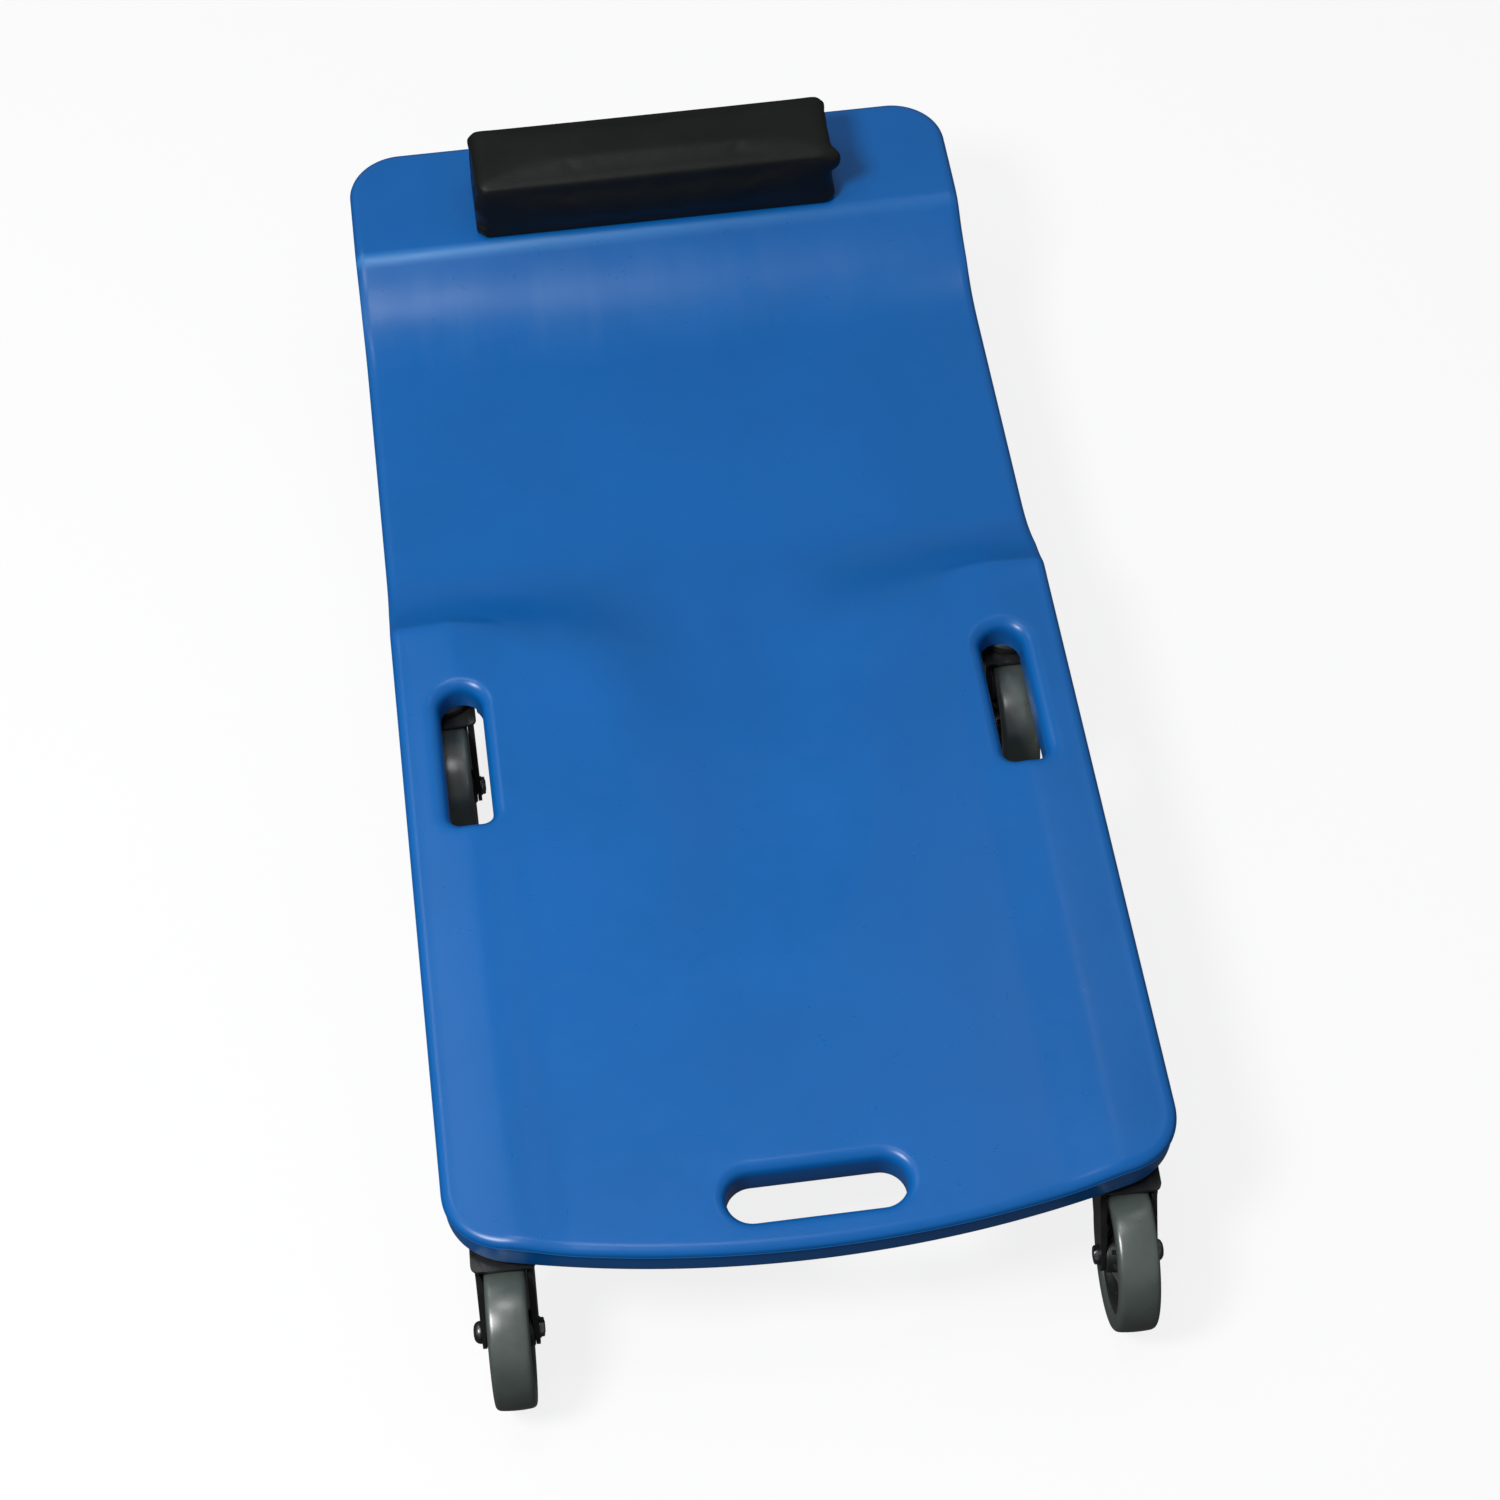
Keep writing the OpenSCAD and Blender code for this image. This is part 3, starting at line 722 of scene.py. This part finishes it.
def pad_start():
    """A rounded block, a little smaller than the finished pad."""
    bm = bmesh.new()
    bmesh.ops.create_cube(bm, size=1.0)
    size = Vector((0.271, 0.0680, 0.0497))
    low = 0.1383
    for v in bm.verts:
        v.co = Vector((v.co.x * size.x, v.co.y * size.y + 0.4357, v.co.z * size.z + low + size.z / 2))
    up = [e for e in bm.edges if max(v.co.z for v in e.verts) > low + 0.01]
    bmesh.ops.bevel(bm, geom=up, offset=0.0075, segments=4, profile=0.5, affect="EDGES")
    me = bpy.data.meshes.new("pad_start")
    bm.to_mesh(me)
    bm.free()
    return link(bpy.data.objects.new("pad_start", me))


def pad_mesh():
    start = pad_start()
    rm = start.modifiers.new("remesh", "REMESH")
    rm.mode = "VOXEL"
    rm.voxel_size = 0.0042
    me = baked(start, "pad_cloth")
    bpy.data.objects.remove(start)
    cloth = link(bpy.data.objects.new("pad_cloth", me))
    n = len(me.vertices)
    rest = np.empty(n * 3)
    me.vertices.foreach_get("co", rest)
    rest = rest.reshape(-1, 3)
    z0 = rest[:, 2].min()
    now = rest.copy()
    pin = cloth.vertex_groups.new(name="pin")
    pin.add([int(i) for i in np.nonzero(rest[:, 2] < z0 + 0.004)[0]], 1.0, "REPLACE")
    mod = cloth.modifiers.new("cloth", "CLOTH")
    st = mod.settings
    st.quality = 6
    st.mass = 0.25
    st.tension_stiffness = st.compression_stiffness = 18
    st.shear_stiffness = 10
    st.bending_stiffness = 0.8
    st.use_pressure = True
    st.uniform_pressure_force = 4.0
    st.effector_weights.gravity = 0.0
    st.vertex_group_mass = "pin"
    mod.point_cache.frame_start = 1
    mod.point_cache.frame_end = 20
    for f in range(1, 21):
        scene.frame_set(f)
    dg = bpy.context.evaluated_depsgraph_get()
    ev = cloth.evaluated_get(dg).to_mesh()
    buf = np.empty(n * 3)
    ev.vertices.foreach_get("co", buf)
    now = buf.reshape(-1, 3).copy()
    cloth.evaluated_get(dg).to_mesh_clear()
    cloth.modifiers.remove(mod)
    scene.frame_set(1)
    normal = np.empty(n * 3)
    me.vertices.foreach_get("normal", normal)
    normal = normal.reshape(-1, 3)
    move = now - rest
    out = np.sum(move * normal, axis=1, keepdims=True)
    slide = move - out * normal
    slide *= np.minimum(1.0, 0.0015 / np.maximum(np.linalg.norm(slide, axis=1, keepdims=True), 1e-9))
    p = rest + np.clip(out, -0.0004, 0.0052) * normal + slide
    me.vertices.foreach_set("co", p.ravel())
    me.update()
    sub = cloth.modifiers.new("sub", "SUBSURF")
    sub.levels = sub.render_levels = 1
    out = baked(cloth, "headrest_pad")
    bpy.data.objects.remove(cloth)
    return out


def pad_folds(me):
    """Corner ears, wrapped ends and the tuck along the bottom, after the swelling."""
    n = len(me.vertices)
    p = np.empty(n * 3)
    me.vertices.foreach_get("co", p)
    p = p.reshape(-1, 3) / MM
    nr = np.empty(n * 3)
    me.vertices.foreach_get("normal", nr)
    nr = nr.reshape(-1, 3)
    z0, x, y, z = 138.25, p[:, 0].copy(), p[:, 1].copy(), p[:, 2].copy()
    d = np.zeros_like(p)

    def blob(c, r, push, power=1.0):
        q = ((x - c[0]) / r[0]) ** 2 + ((y - c[1]) / r[1]) ** 2 + ((z - c[2]) / r[2]) ** 2
        return np.exp(-q ** power)[:, None] * np.array(push, float)

    # gathered ear on the right front corner, and the flatter one on the left
    d += blob((137, 407, 177), (9, 9, 9.5), (5.8, -1.0, 0.0), 2.4)
    d += blob((139, 404, 161), (8, 9, 6), (-1.2, 0.8, 0))
    d += blob((138, 403, 150), (9, 9, 8), (-0.4, 0.4, 0))
    d += blob((-138, 404, 178), (7, 7, 5), (1.6, 0.8, 0))
    d += blob((-138, 404, 166), (8, 8, 7), (-3.0, -0.6, 0))
    d += blob((-138, 402, 148), (9, 8, 8), (0.8, 0.4, 0))
    # back corners, not seen from the front
    d += blob((138, 465, 179), (8, 7, 7), (2.5, 1.5, 0))
    d += blob((-138, 465, 179), (8, 7, 7), (-2.5, 1.5, 0))
    # wrapped ends: two slanting folds meet above the base, with a flap between them
    for s in (-1, 1):
        end = sstep(126, 133, s * x)
        for yc, dy in ((410.0, 1.0), (460.0, -1.0)):
            t = np.clip((186 - z) / 44, 0, 1)
            line = yc + dy * (2.0 + 15.0 * t)
            e = (y - line) * dy
            d[:, 0] += s * end * (1.1 * np.exp(-((e - 1.6) / 2.6) ** 2) - 1.5 * np.exp(-((e + 1.2) / 1.7) ** 2)) * sstep(0.02, 0.25, t)
    # the cover is pulled in under the board
    low = 1 - sstep(z0 + 0.5, z0 + 8, z)
    d[:, 0] -= np.sign(x) * low * 1.6 * sstep(120, 134, np.abs(x))
    d[:, 1] -= np.sign(y - 435) * low * 1.2 * sstep(24, 30, np.abs(y - 435))
    # shallow pulls along the front and back, from the staples below
    for s in (-1, 1):
        face = sstep(0.6, 0.95, s * nr[:, 1])
        pull = np.sin(x * 0.155 + s) * 0.5 + np.sin(x * 0.071 + 2 * s) * 0.5
        d[:, 1] += s * face * 0.55 * pull * (1 - sstep(z0 + 6, z0 + 34, z))
    p += d
    # the lowest band stays outside the board, round a rectangle with rounded corners
    h = np.maximum(p[:, 2] - z0, 0)
    r = 2.5
    ex, ey = p[:, 0], p[:, 1] - 435.0
    qx, qy = np.abs(ex) - (136.8 - r), np.abs(ey) - (33.6 - r)
    mx, my = np.maximum(qx, 0), np.maximum(qy, 0)
    corner = np.hypot(mx, my)
    gap = corner + np.minimum(np.maximum(qx, qy), 0) - r
    ox = np.where(corner > 1e-6, mx / np.maximum(corner, 1e-6), (qx > qy) * 1.0)
    oy = np.where(corner > 1e-6, my / np.maximum(corner, 1e-6), (qx <= qy) * 1.0)
    want = -0.2 * (1 - sstep(0.0, 5.0, h))
    step = np.where((h < 10) & (gap > -6.5), np.maximum(0, want - gap), 0.0) * (1 - sstep(8, 10, h))
    p[:, 0] += np.sign(ex) * ox * step
    p[:, 1] += np.sign(ey) * oy * step
    p[:, 2] = np.maximum(p[:, 2], z0)
    me.vertices.foreach_set("co", (p * MM).ravel())
    me.update()


pad_me = pad_mesh()
pad_folds(pad_me)
pad_me.shade_smooth()
pad = link(bpy.data.objects.new("headrest_pad", pad_me))
sm = pad.modifiers.new("sub", "SUBSURF")
sm.levels = sm.render_levels = 1
dress(pad, "black_vinyl")
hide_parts("headrest_cover")
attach(pad, "deck_assembly")


def foam_block():
    lo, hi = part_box("headrest_foam")
    bm = bmesh.new()
    bmesh.ops.create_cube(bm, size=1.0)
    c, s = (Vector(lo) + Vector(hi)) / 2, Vector(hi) - Vector(lo)
    for v in bm.verts:
        v.co = Vector((v.co.x * s.x, v.co.y * s.y, v.co.z * s.z)) * 0.955 + c
    bmesh.ops.bevel(bm, geom=bm.edges[:], offset=0.010, segments=5, profile=0.5, affect="EDGES")
    me = bpy.data.meshes.new("headrest_core")
    bm.to_mesh(me)
    bm.free()
    shade(me, 40)
    o = link(bpy.data.objects.new("headrest_core", me))
    dress(o, "foam")
    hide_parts("headrest_foam")
    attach(o, "deck_assembly")


foam_block()


# ---------------------------------------------------------------- casters

CROWN, TRAIL, WR = 101.5, 43.0, 50.0


def placed(v, x, y, a):
    c, s = math.cos(math.radians(a)), math.sin(math.radians(a))
    v = np.asarray(v, float)
    return np.column_stack([x + c * v[:, 0] - s * v[:, 1], y + s * v[:, 0] + c * v[:, 1], v[:, 2]])


def leg_outline():
    """The leg's edge from the crown's front, round the axle boss, to the crown's back, as (y, z)."""
    pts = [(-26, 97.0), (-26, 94.5), (-27.6, 90), (-52.27, 54.93)]
    front = soft_profile([(-26, 97.0), (-26.2, 93.5), (-29.0, 88.5), (-51.3, 56.4)], 5.0, 5)
    boss = [(-TRAIL + 10.5 * math.cos(math.radians(a)), WR + 10.5 * math.sin(math.radians(a))) for a in np.linspace(146, 340, 26)]
    back = soft_profile([(-33.13, 46.41), (17.0, 84.6), (22, 92.5), (22, 97.0)], 6.0, 5)
    return np.array(front[:-1] + boss + back[1:])


def fork_mesh():
    """A pressed fork: one bent sheet, flat pattern first, then bent and thickened."""
    T, R, W = 2.5, 4.6, 18.0
    flat = W - R
    bend = R * math.pi / 2
    top = flat + bend

    edge = leg_outline()
    right = np.column_stack([top + (97.0 - edge[:, 1]) - (97.0 - (CROWN - R)), edge[:, 0]])
    right[:, 0] = np.maximum(right[:, 0], top)
    # flat pattern in (s, y): front edge, right leg, back edge, left leg
    front = [(s, -26.0) for s in np.linspace(-top, top, 31)]
    back = [(s, 22.0) for s in np.linspace(top, -top, 31)]
    left = np.column_stack([-right[::-1, 0], right[::-1, 1]])
    loop = np.array(front + right[1:-1].tolist() + back + left[1:-1].tolist())
    keep = np.ones(len(loop), bool)
    for i in range(len(loop)):
        if np.linalg.norm(loop[i] - loop[i - 1]) < 1e-3:
            keep[i] = False
    loop = loop[keep]
    ring = lambda cx, cy, r, n: np.array([(cx + r * math.cos(t), cy + r * math.sin(t)) for t in np.linspace(0, 2 * math.pi, n, endpoint=False)])
    axle_s = top + (CROWN - R) - WR
    holes = [ring(0, 0, 5.06, 40), ring(axle_s, -TRAIL, 4.05, 32), ring(-axle_s, -TRAIL, 4.05, 32)]
    cols = sorted(set(np.round(np.concatenate([np.linspace(-flat, flat, 7), np.linspace(flat, top, 9), -np.linspace(flat, top, 9),
                                               np.arange(top + 4, 75, 5), -np.arange(top + 4, 75, 5)]), 4)))
    gx, gy = np.meshgrid(cols, np.arange(-58, 24, 3.7))
    g = np.column_stack([gx.ravel(), gy.ravel()])
    g = g[inside(g, loop)]
    g = g[~near(g, loop, 1.4)]
    for h in holes:
        g = g[~inside(g, h)]
        g = g[~near(g, h, 1.4)]
    pts, tri = fill([loop], holes, g)

    s, y = pts[:, 0], pts[:, 1]
    a = np.abs(s)
    sg = np.sign(s)
    th = np.clip((a - flat) / R, 0, math.pi / 2)
    x = sg * (np.minimum(a, flat) + R * np.sin(th))
    z = CROWN - R + R * np.cos(th) - np.maximum(0, a - top)
    nx, nz = sg * np.sin(th), np.cos(th)
    # the legs are pressed in towards the tread, and flat round each axle hole
    rr = np.hypot(a - axle_s, y + TRAIL)
    deep = T + 1.7 * sstep(12.0, 17.0, rr) * sstep(top + 1, top + 8, a)
    outer = np.column_stack([x, y, z])
    innr = outer - deep[:, None] * np.column_stack([nx, np.zeros_like(nx), nz])
    n = len(pts)
    V = np.vstack([outer, innr])
    F = [tuple(t) for t in tri] + [tuple(n + t[::-1]) for t in tri]
    at = 0
    for lp in [loop, *holes]:
        m = len(lp)
        ids = list(range(at, at + m))
        at += m
        area = np.sum(lp[:, 0] * np.roll(lp[:, 1], -1) - np.roll(lp[:, 0], -1) * lp[:, 1])
        ccw = area > 0
        outerloop = lp is loop
        for i in range(m):
            p, q = ids[i], ids[(i + 1) % m]
            quad = (p, n + p, n + q, q)
            if ccw != outerloop:
                quad = quad[::-1]
            F.append(quad)
    return V, F


def flange_mesh():
    """The crown's wider top plate."""
    hx, y0, y1, r, z0, z1 = 20.4, -26.6, 22.6, 5.0, 98.9, 101.42
    loop = []
    for cx, cy, a0 in ((hx - r, y0 + r, -90), (hx - r, y1 - r, 0), (-hx + r, y1 - r, 90), (-hx + r, y0 + r, 180)):
        loop += [(cx + r * math.cos(math.radians(a)), cy + r * math.sin(math.radians(a))) for a in np.linspace(a0, a0 + 90, 9)]
    loop = np.array(loop)
    hole = np.array([(5.06 * math.cos(t), 5.06 * math.sin(t)) for t in np.linspace(0, 2 * math.pi, 40, endpoint=False)])
    gx, gy = np.meshgrid(np.arange(-19, 19.1, 2.375), np.arange(-25, 21.1, 2.3))
    g = np.column_stack([gx.ravel(), gy.ravel()])
    g = g[inside(g, loop) & ~near(g, loop, 1.3) & ~inside(g, hole) & ~near(g, hole, 1.3)]
    pts, tri = fill([loop], [hole], g)
    n, m, h = len(pts), len(loop), len(hole)
    V = np.vstack([np.column_stack([pts, np.full(n, z1)]), np.column_stack([pts, np.full(n, z0)])])
    F = [tuple(t) for t in tri] + [tuple(n + t[::-1]) for t in tri]
    F += [(i, n + i, n + (i + 1) % m, (i + 1) % m) for i in range(m)]
    F += [(m + i, m + (i + 1) % h, n + m + (i + 1) % h, n + m + i) for i in range(h)]
    return V, F


def tyre_profile():
    w = 13.1
    half = [(38.05, w - 2.6), (39.2, w - 0.8), (41.5, w - 0.15), (46.0, w), (47.6, w - 0.4), (48.7, w - 1.4), (49.28, w - 2.8),
            (49.5, 9.0), (49.70, 7.0), (49.85, 5.0), (49.94, 3.0), (50.0, 0.0)]
    half = [half[0]] + soft_profile(half, 0.8, 3)[1:]
    mirror = [(r, -h) for r, h in half[:-1][::-1]]
    return half + mirror + [(38.05, w - 2.6)]


def hub_profile():
    b = 15.1
    side = [(6.06, b), (10.6, b), (11.7, b - 1.2), (12.6, 5.2), (14.5, 4.2), (29.0, 3.4), (31.0, 4.6), (33.2, 9.6), (34.6, 10.4), (37.9, 10.4)]
    side = soft_profile(side, 1.2, 3)
    return [(r, h) for r, h in side] + [(r, -h) for r, h in side[::-1]] + [(6.06, b)]


def hub_rib():
    """One rib of the hub, tapering from the boss to the rim, on the +x side of the wheel's plane."""
    bm = bmesh.new()
    r0, r1 = 11.4, 32.4
    sec = [(r0, 11.6, 1.5), (18.0, 8.2, 1.2), (26.0, 7.3, 1.15), (r1, 8.9, 1.3)]
    rings = []
    for r, h, w in sec:
        rings.append([bm.verts.new((h, r, -w)), bm.verts.new((h, r, w)), bm.verts.new((2.6, r, w + 0.35)), bm.verts.new((2.6, r, -w - 0.35))])
    for a, b in zip(rings, rings[1:]):
        for i in range(4):
            bm.faces.new((a[i], a[(i + 1) % 4], b[(i + 1) % 4], b[i]))
    bm.faces.new(rings[0][::-1])
    bm.faces.new(rings[-1])
    top = [e for e in bm.edges if all(v.co.x > 5 for v in e.verts)]
    bmesh.ops.bevel(bm, geom=top, offset=0.55, segments=2, profile=0.5, affect="EDGES")
    bmesh.ops.recalc_face_normals(bm, faces=bm.faces[:])
    v = np.array([tuple(x.co) for x in bm.verts])
    bm.verts.index_update()
    f = [tuple(x.index for x in q.verts) for q in bm.faces]
    bm.free()
    return v, f


def joined(parts):
    V, F = [], []
    for v, f in parts:
        k = len(V)
        V.extend(map(tuple, np.asarray(v, float)))
        F.extend(tuple(int(i) + k for i in q) for q in f)
    return np.array(V), F


def turned_x(v, a):
    c, s = math.cos(a), math.sin(a)
    return np.column_stack([v[:, 0], c * v[:, 1] - s * v[:, 2], s * v[:, 1] + c * v[:, 2]])


def hub_mesh():
    parts = [lathe(hub_profile(), 96, "x")]
    rv, rf = hub_rib()
    for k in range(8):
        v = turned_x(rv, k * math.pi / 4 + math.pi / 8)
        parts.append((v, rf))
        parts.append((v * np.array([-1, 1, 1]), [q[::-1] for q in rf]))
    return joined(parts)


def bolt_mesh():
    """Axle bolt along x with its domed head on the +x side."""
    L = 18.0
    head = [(4.0, L + 0.05), (7.0, L + 0.05), (7.25, L + 0.45), (7.2, L + 1.5), (6.75, L + 2.9), (5.8, L + 4.05), (4.4, L + 4.85), (2.4, L + 5.25), (0, L + 5.35)]
    shank = [(0, -L - 3.6), (3.3, -L - 3.6), (3.8, -L - 3.45), (4.0, -L - 3.1)]
    return lathe(shank + head, 64, "x")


def nut_mesh():
    """Low flanged hexagon nut on the -x side."""
    L = 18.0
    wash = [(4.05, -L - 0.05), (6.6, -L - 0.05), (6.8, -L - 0.2), (6.8, -L - 0.7), (6.55, -L - 0.95), (4.05, -L - 0.95), (4.05, -L - 0.05)]
    parts = [lathe(wash, 48, "x")]
    bm = bmesh.new()
    n = 48
    rows = []
    for h, cham in ((-L - 0.95, 0.0), (-L - 2.6, 0.0), (-L - 3.2, 0.75)):
        row = []
        for k in range(n):
            t = 2 * math.pi * k / n
            hexr = 5.37 / math.cos((t + math.pi / 6) % (math.pi / 3) - math.pi / 6)
            r = min(hexr, 6.15) if cham == 0 else min(hexr, 6.15 - cham)
            row.append(bm.verts.new((h, r * math.cos(t), r * math.sin(t))))
        rows.append(row)
    bore = [[bm.verts.new((h, 4.05 * math.cos(2 * math.pi * k / n), 4.05 * math.sin(2 * math.pi * k / n))) for k in range(n)] for h in (-L - 3.2, -L - 0.95)]
    chain = rows + bore + [rows[0]]
    for a, b in zip(chain, chain[1:]):
        for k in range(n):
            bm.faces.new((a[k], a[(k + 1) % n], b[(k + 1) % n], b[k]))
    bmesh.ops.recalc_face_normals(bm, faces=bm.faces[:])
    bm.verts.index_update()
    parts.append((np.array([tuple(v.co) for v in bm.verts]), [tuple(v.index for v in q.verts) for q in bm.faces]))
    bm.free()
    return joined(parts)


FORK = fork_mesh()
FLANGE = flange_mesh()
TYRE = lathe(tyre_profile(), 160, "x")
HUB = hub_mesh()
BOLT = bolt_mesh()
NUT = nut_mesh()


def caster(name, x, y, a, side, recess):
    def at_axle(v, flip=False):
        v = np.array(v, float)
        if flip and side < 0:
            v = v * np.array([-1, -1, 1])
        return placed(v + np.array([0, -TRAIL, WR]), x, y, a)

    fv, ff = joined([FORK, FLANGE])
    fork = mesh_object("caster_fork_" + name, placed(fv, x, y, a), ff, 40)
    bevel(fork, 0.8, 3, 40)
    dress(fork, "black_steel")
    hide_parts("fork_" + name)
    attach(fork, "swivel_" + name)

    tyre = mesh_object("caster_tread_" + name, at_axle(TYRE[0]), TYRE[1], 50)
    dress(tyre, "grey_tread")
    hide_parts("tyre_" + name)
    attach(tyre, "wheel_" + name)

    hub = mesh_object("caster_hub_" + name, at_axle(HUB[0]), HUB[1], 40)
    dress(hub, "hub_black")
    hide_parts("hub_" + name)
    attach(hub, "wheel_" + name)

    bolt = mesh_object("caster_axle_bolt_" + name, at_axle(BOLT[0], True), BOLT[1], 45)
    dress(bolt, "dark_steel")
    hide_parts("axle_bolt_" + name)
    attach(bolt, "swivel_" + name)

    nut = mesh_object("caster_axle_nut_" + name, at_axle(NUT[0], True), NUT[1], 35)
    dress(nut, "dark_steel")
    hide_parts("axle_nut_" + name)
    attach(nut, "swivel_" + name)


for row in CASTERS:
    caster(*row)

# CAD nodes that show as they are: a fine edge and their own finish
KEPT = {"headrest_board": "board", "headrest_screws": "zinc_steel", "stem_inserts": "brass_insert", "kingpins": "dark_steel"}
for row in CASTERS:
    KEPT["raceway_" + row[0]] = "black_steel"
    KEPT["swivel_balls_" + row[0]] = "ball_steel"
    KEPT["axle_sleeve_" + row[0]] = "zinc_steel"
for node, slot_name in KEPT.items():
    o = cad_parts[node]
    dress(o, slot_name)
    if not node.startswith("swivel_balls"):
        w = o.modifiers.new("weld", "WELD")
        w.merge_threshold = 1e-5
        bevel(o, 0.25, 2, 40)


# ---------------------------------------------------------------- stage

def stage():
    # a round floor that sweeps up into a plain backdrop, all in one sheet
    n = 72
    prof = [(r * 1000.0, 0.0) for r in (0.5, 1.0, 1.5, 2.0, 3.0, 4.0, 5.0, 6.0)]
    prof += [(6000 + 3000 * math.sin(math.radians(a)), 3000 - 3000 * math.cos(math.radians(a))) for a in range(6, 91, 6)]
    prof += [(9000.0, z) for z in (4500.0, 6500.0, 9000.0)]
    vs, fs = [(0.0, 0.0, 0.0)], []
    for r, z in prof:
        for i in range(n):
            t = 2 * math.pi * i / n
            vs.append((r * math.cos(t), r * math.sin(t), z))
    for i in range(n):
        j = (i + 1) % n
        fs.append((0, 1 + i, 1 + j))
        for k in range(len(prof) - 1):
            a, b = 1 + k * n, 1 + (k + 1) * n
            fs.append((a + i, b + i, b + j, a + j))
    floor = mesh_object("studio_floor", vs, fs, 60)
    floor.data.materials.append(mat_floor())
    floor.visible_diffuse = False
    floor.visible_glossy = False
    floor.visible_shadow = False

    w = bpy.data.worlds.new("studio")
    scene.world = w
    w.use_nodes = True
    bg = w.node_tree.nodes["Background"]
    bg.inputs[1].default_value = 0.36
    tc = w.node_tree.nodes.new("ShaderNodeTexCoord")
    sep = w.node_tree.nodes.new("ShaderNodeSeparateXYZ")
    w.node_tree.links.new(tc.outputs["Generated"], sep.inputs[0])
    sky = ramp(w.node_tree, sep.outputs[2], [(0.0, (0.20, 0.20, 0.21)), (0.45, (0.95, 0.97, 1.0))])
    w.node_tree.links.new(sky, bg.inputs[0])

    def area(name, loc, target, size, power, glossy=True, color=(1, 1, 1)):
        d = bpy.data.lights.new(name, "AREA")
        d.shape = "DISK"
        d.size = size
        d.energy = power
        d.color = color
        o = link(bpy.data.objects.new(name, d))
        o.location = loc
        o.rotation_euler = (Vector(target) - Vector(loc)).to_track_quat("-Z", "Y").to_euler()
        o.visible_glossy = glossy
        return o

    aim = (0.0, 0.0, 0.1)
    area("key_left", (-1.21, -0.81, 2.17), aim, 0.7, 50.9)
    area("softbox_top", (-0.37, 0.18, 3.50), aim, 0.7, 13.7)
    area("rim_right", (0.97, 1.21, 2.89), aim, 0.6, 2.5)
    area("fill_back_left", (-1.35, 1.27, 2.56), aim, 0.9, 6.5)


stage()


def camera():
    cd = bpy.data.cameras.new("photo_view")
    cam = link(bpy.data.objects.new("photo_view", cd))
    cd.sensor_fit = "HORIZONTAL"
    cd.sensor_width = 36.0
    cd.lens = 75.096
    cd.shift_x = 0.03
    cd.shift_y = 0.03
    cd.clip_start, cd.clip_end = 0.05, 60.0
    yaw, pitch, roll = (math.radians(v) for v in (5.873, 55.784, 1.767))
    fwd = Vector((math.sin(yaw) * math.cos(pitch), math.cos(yaw) * math.cos(pitch), -math.sin(pitch)))
    right = Vector((math.cos(yaw), -math.sin(yaw), 0.0))
    up = right.cross(fwd)
    cx = math.cos(roll) * right - math.sin(roll) * up
    cy = math.sin(roll) * right + math.cos(roll) * up
    cz = -fwd
    m = Matrix((cx, cy, cz)).transposed().to_4x4()
    m.translation = Vector((-0.1511, -1.2877, 1.8549))
    cam.matrix_world = m
    scene.camera = cam


camera()
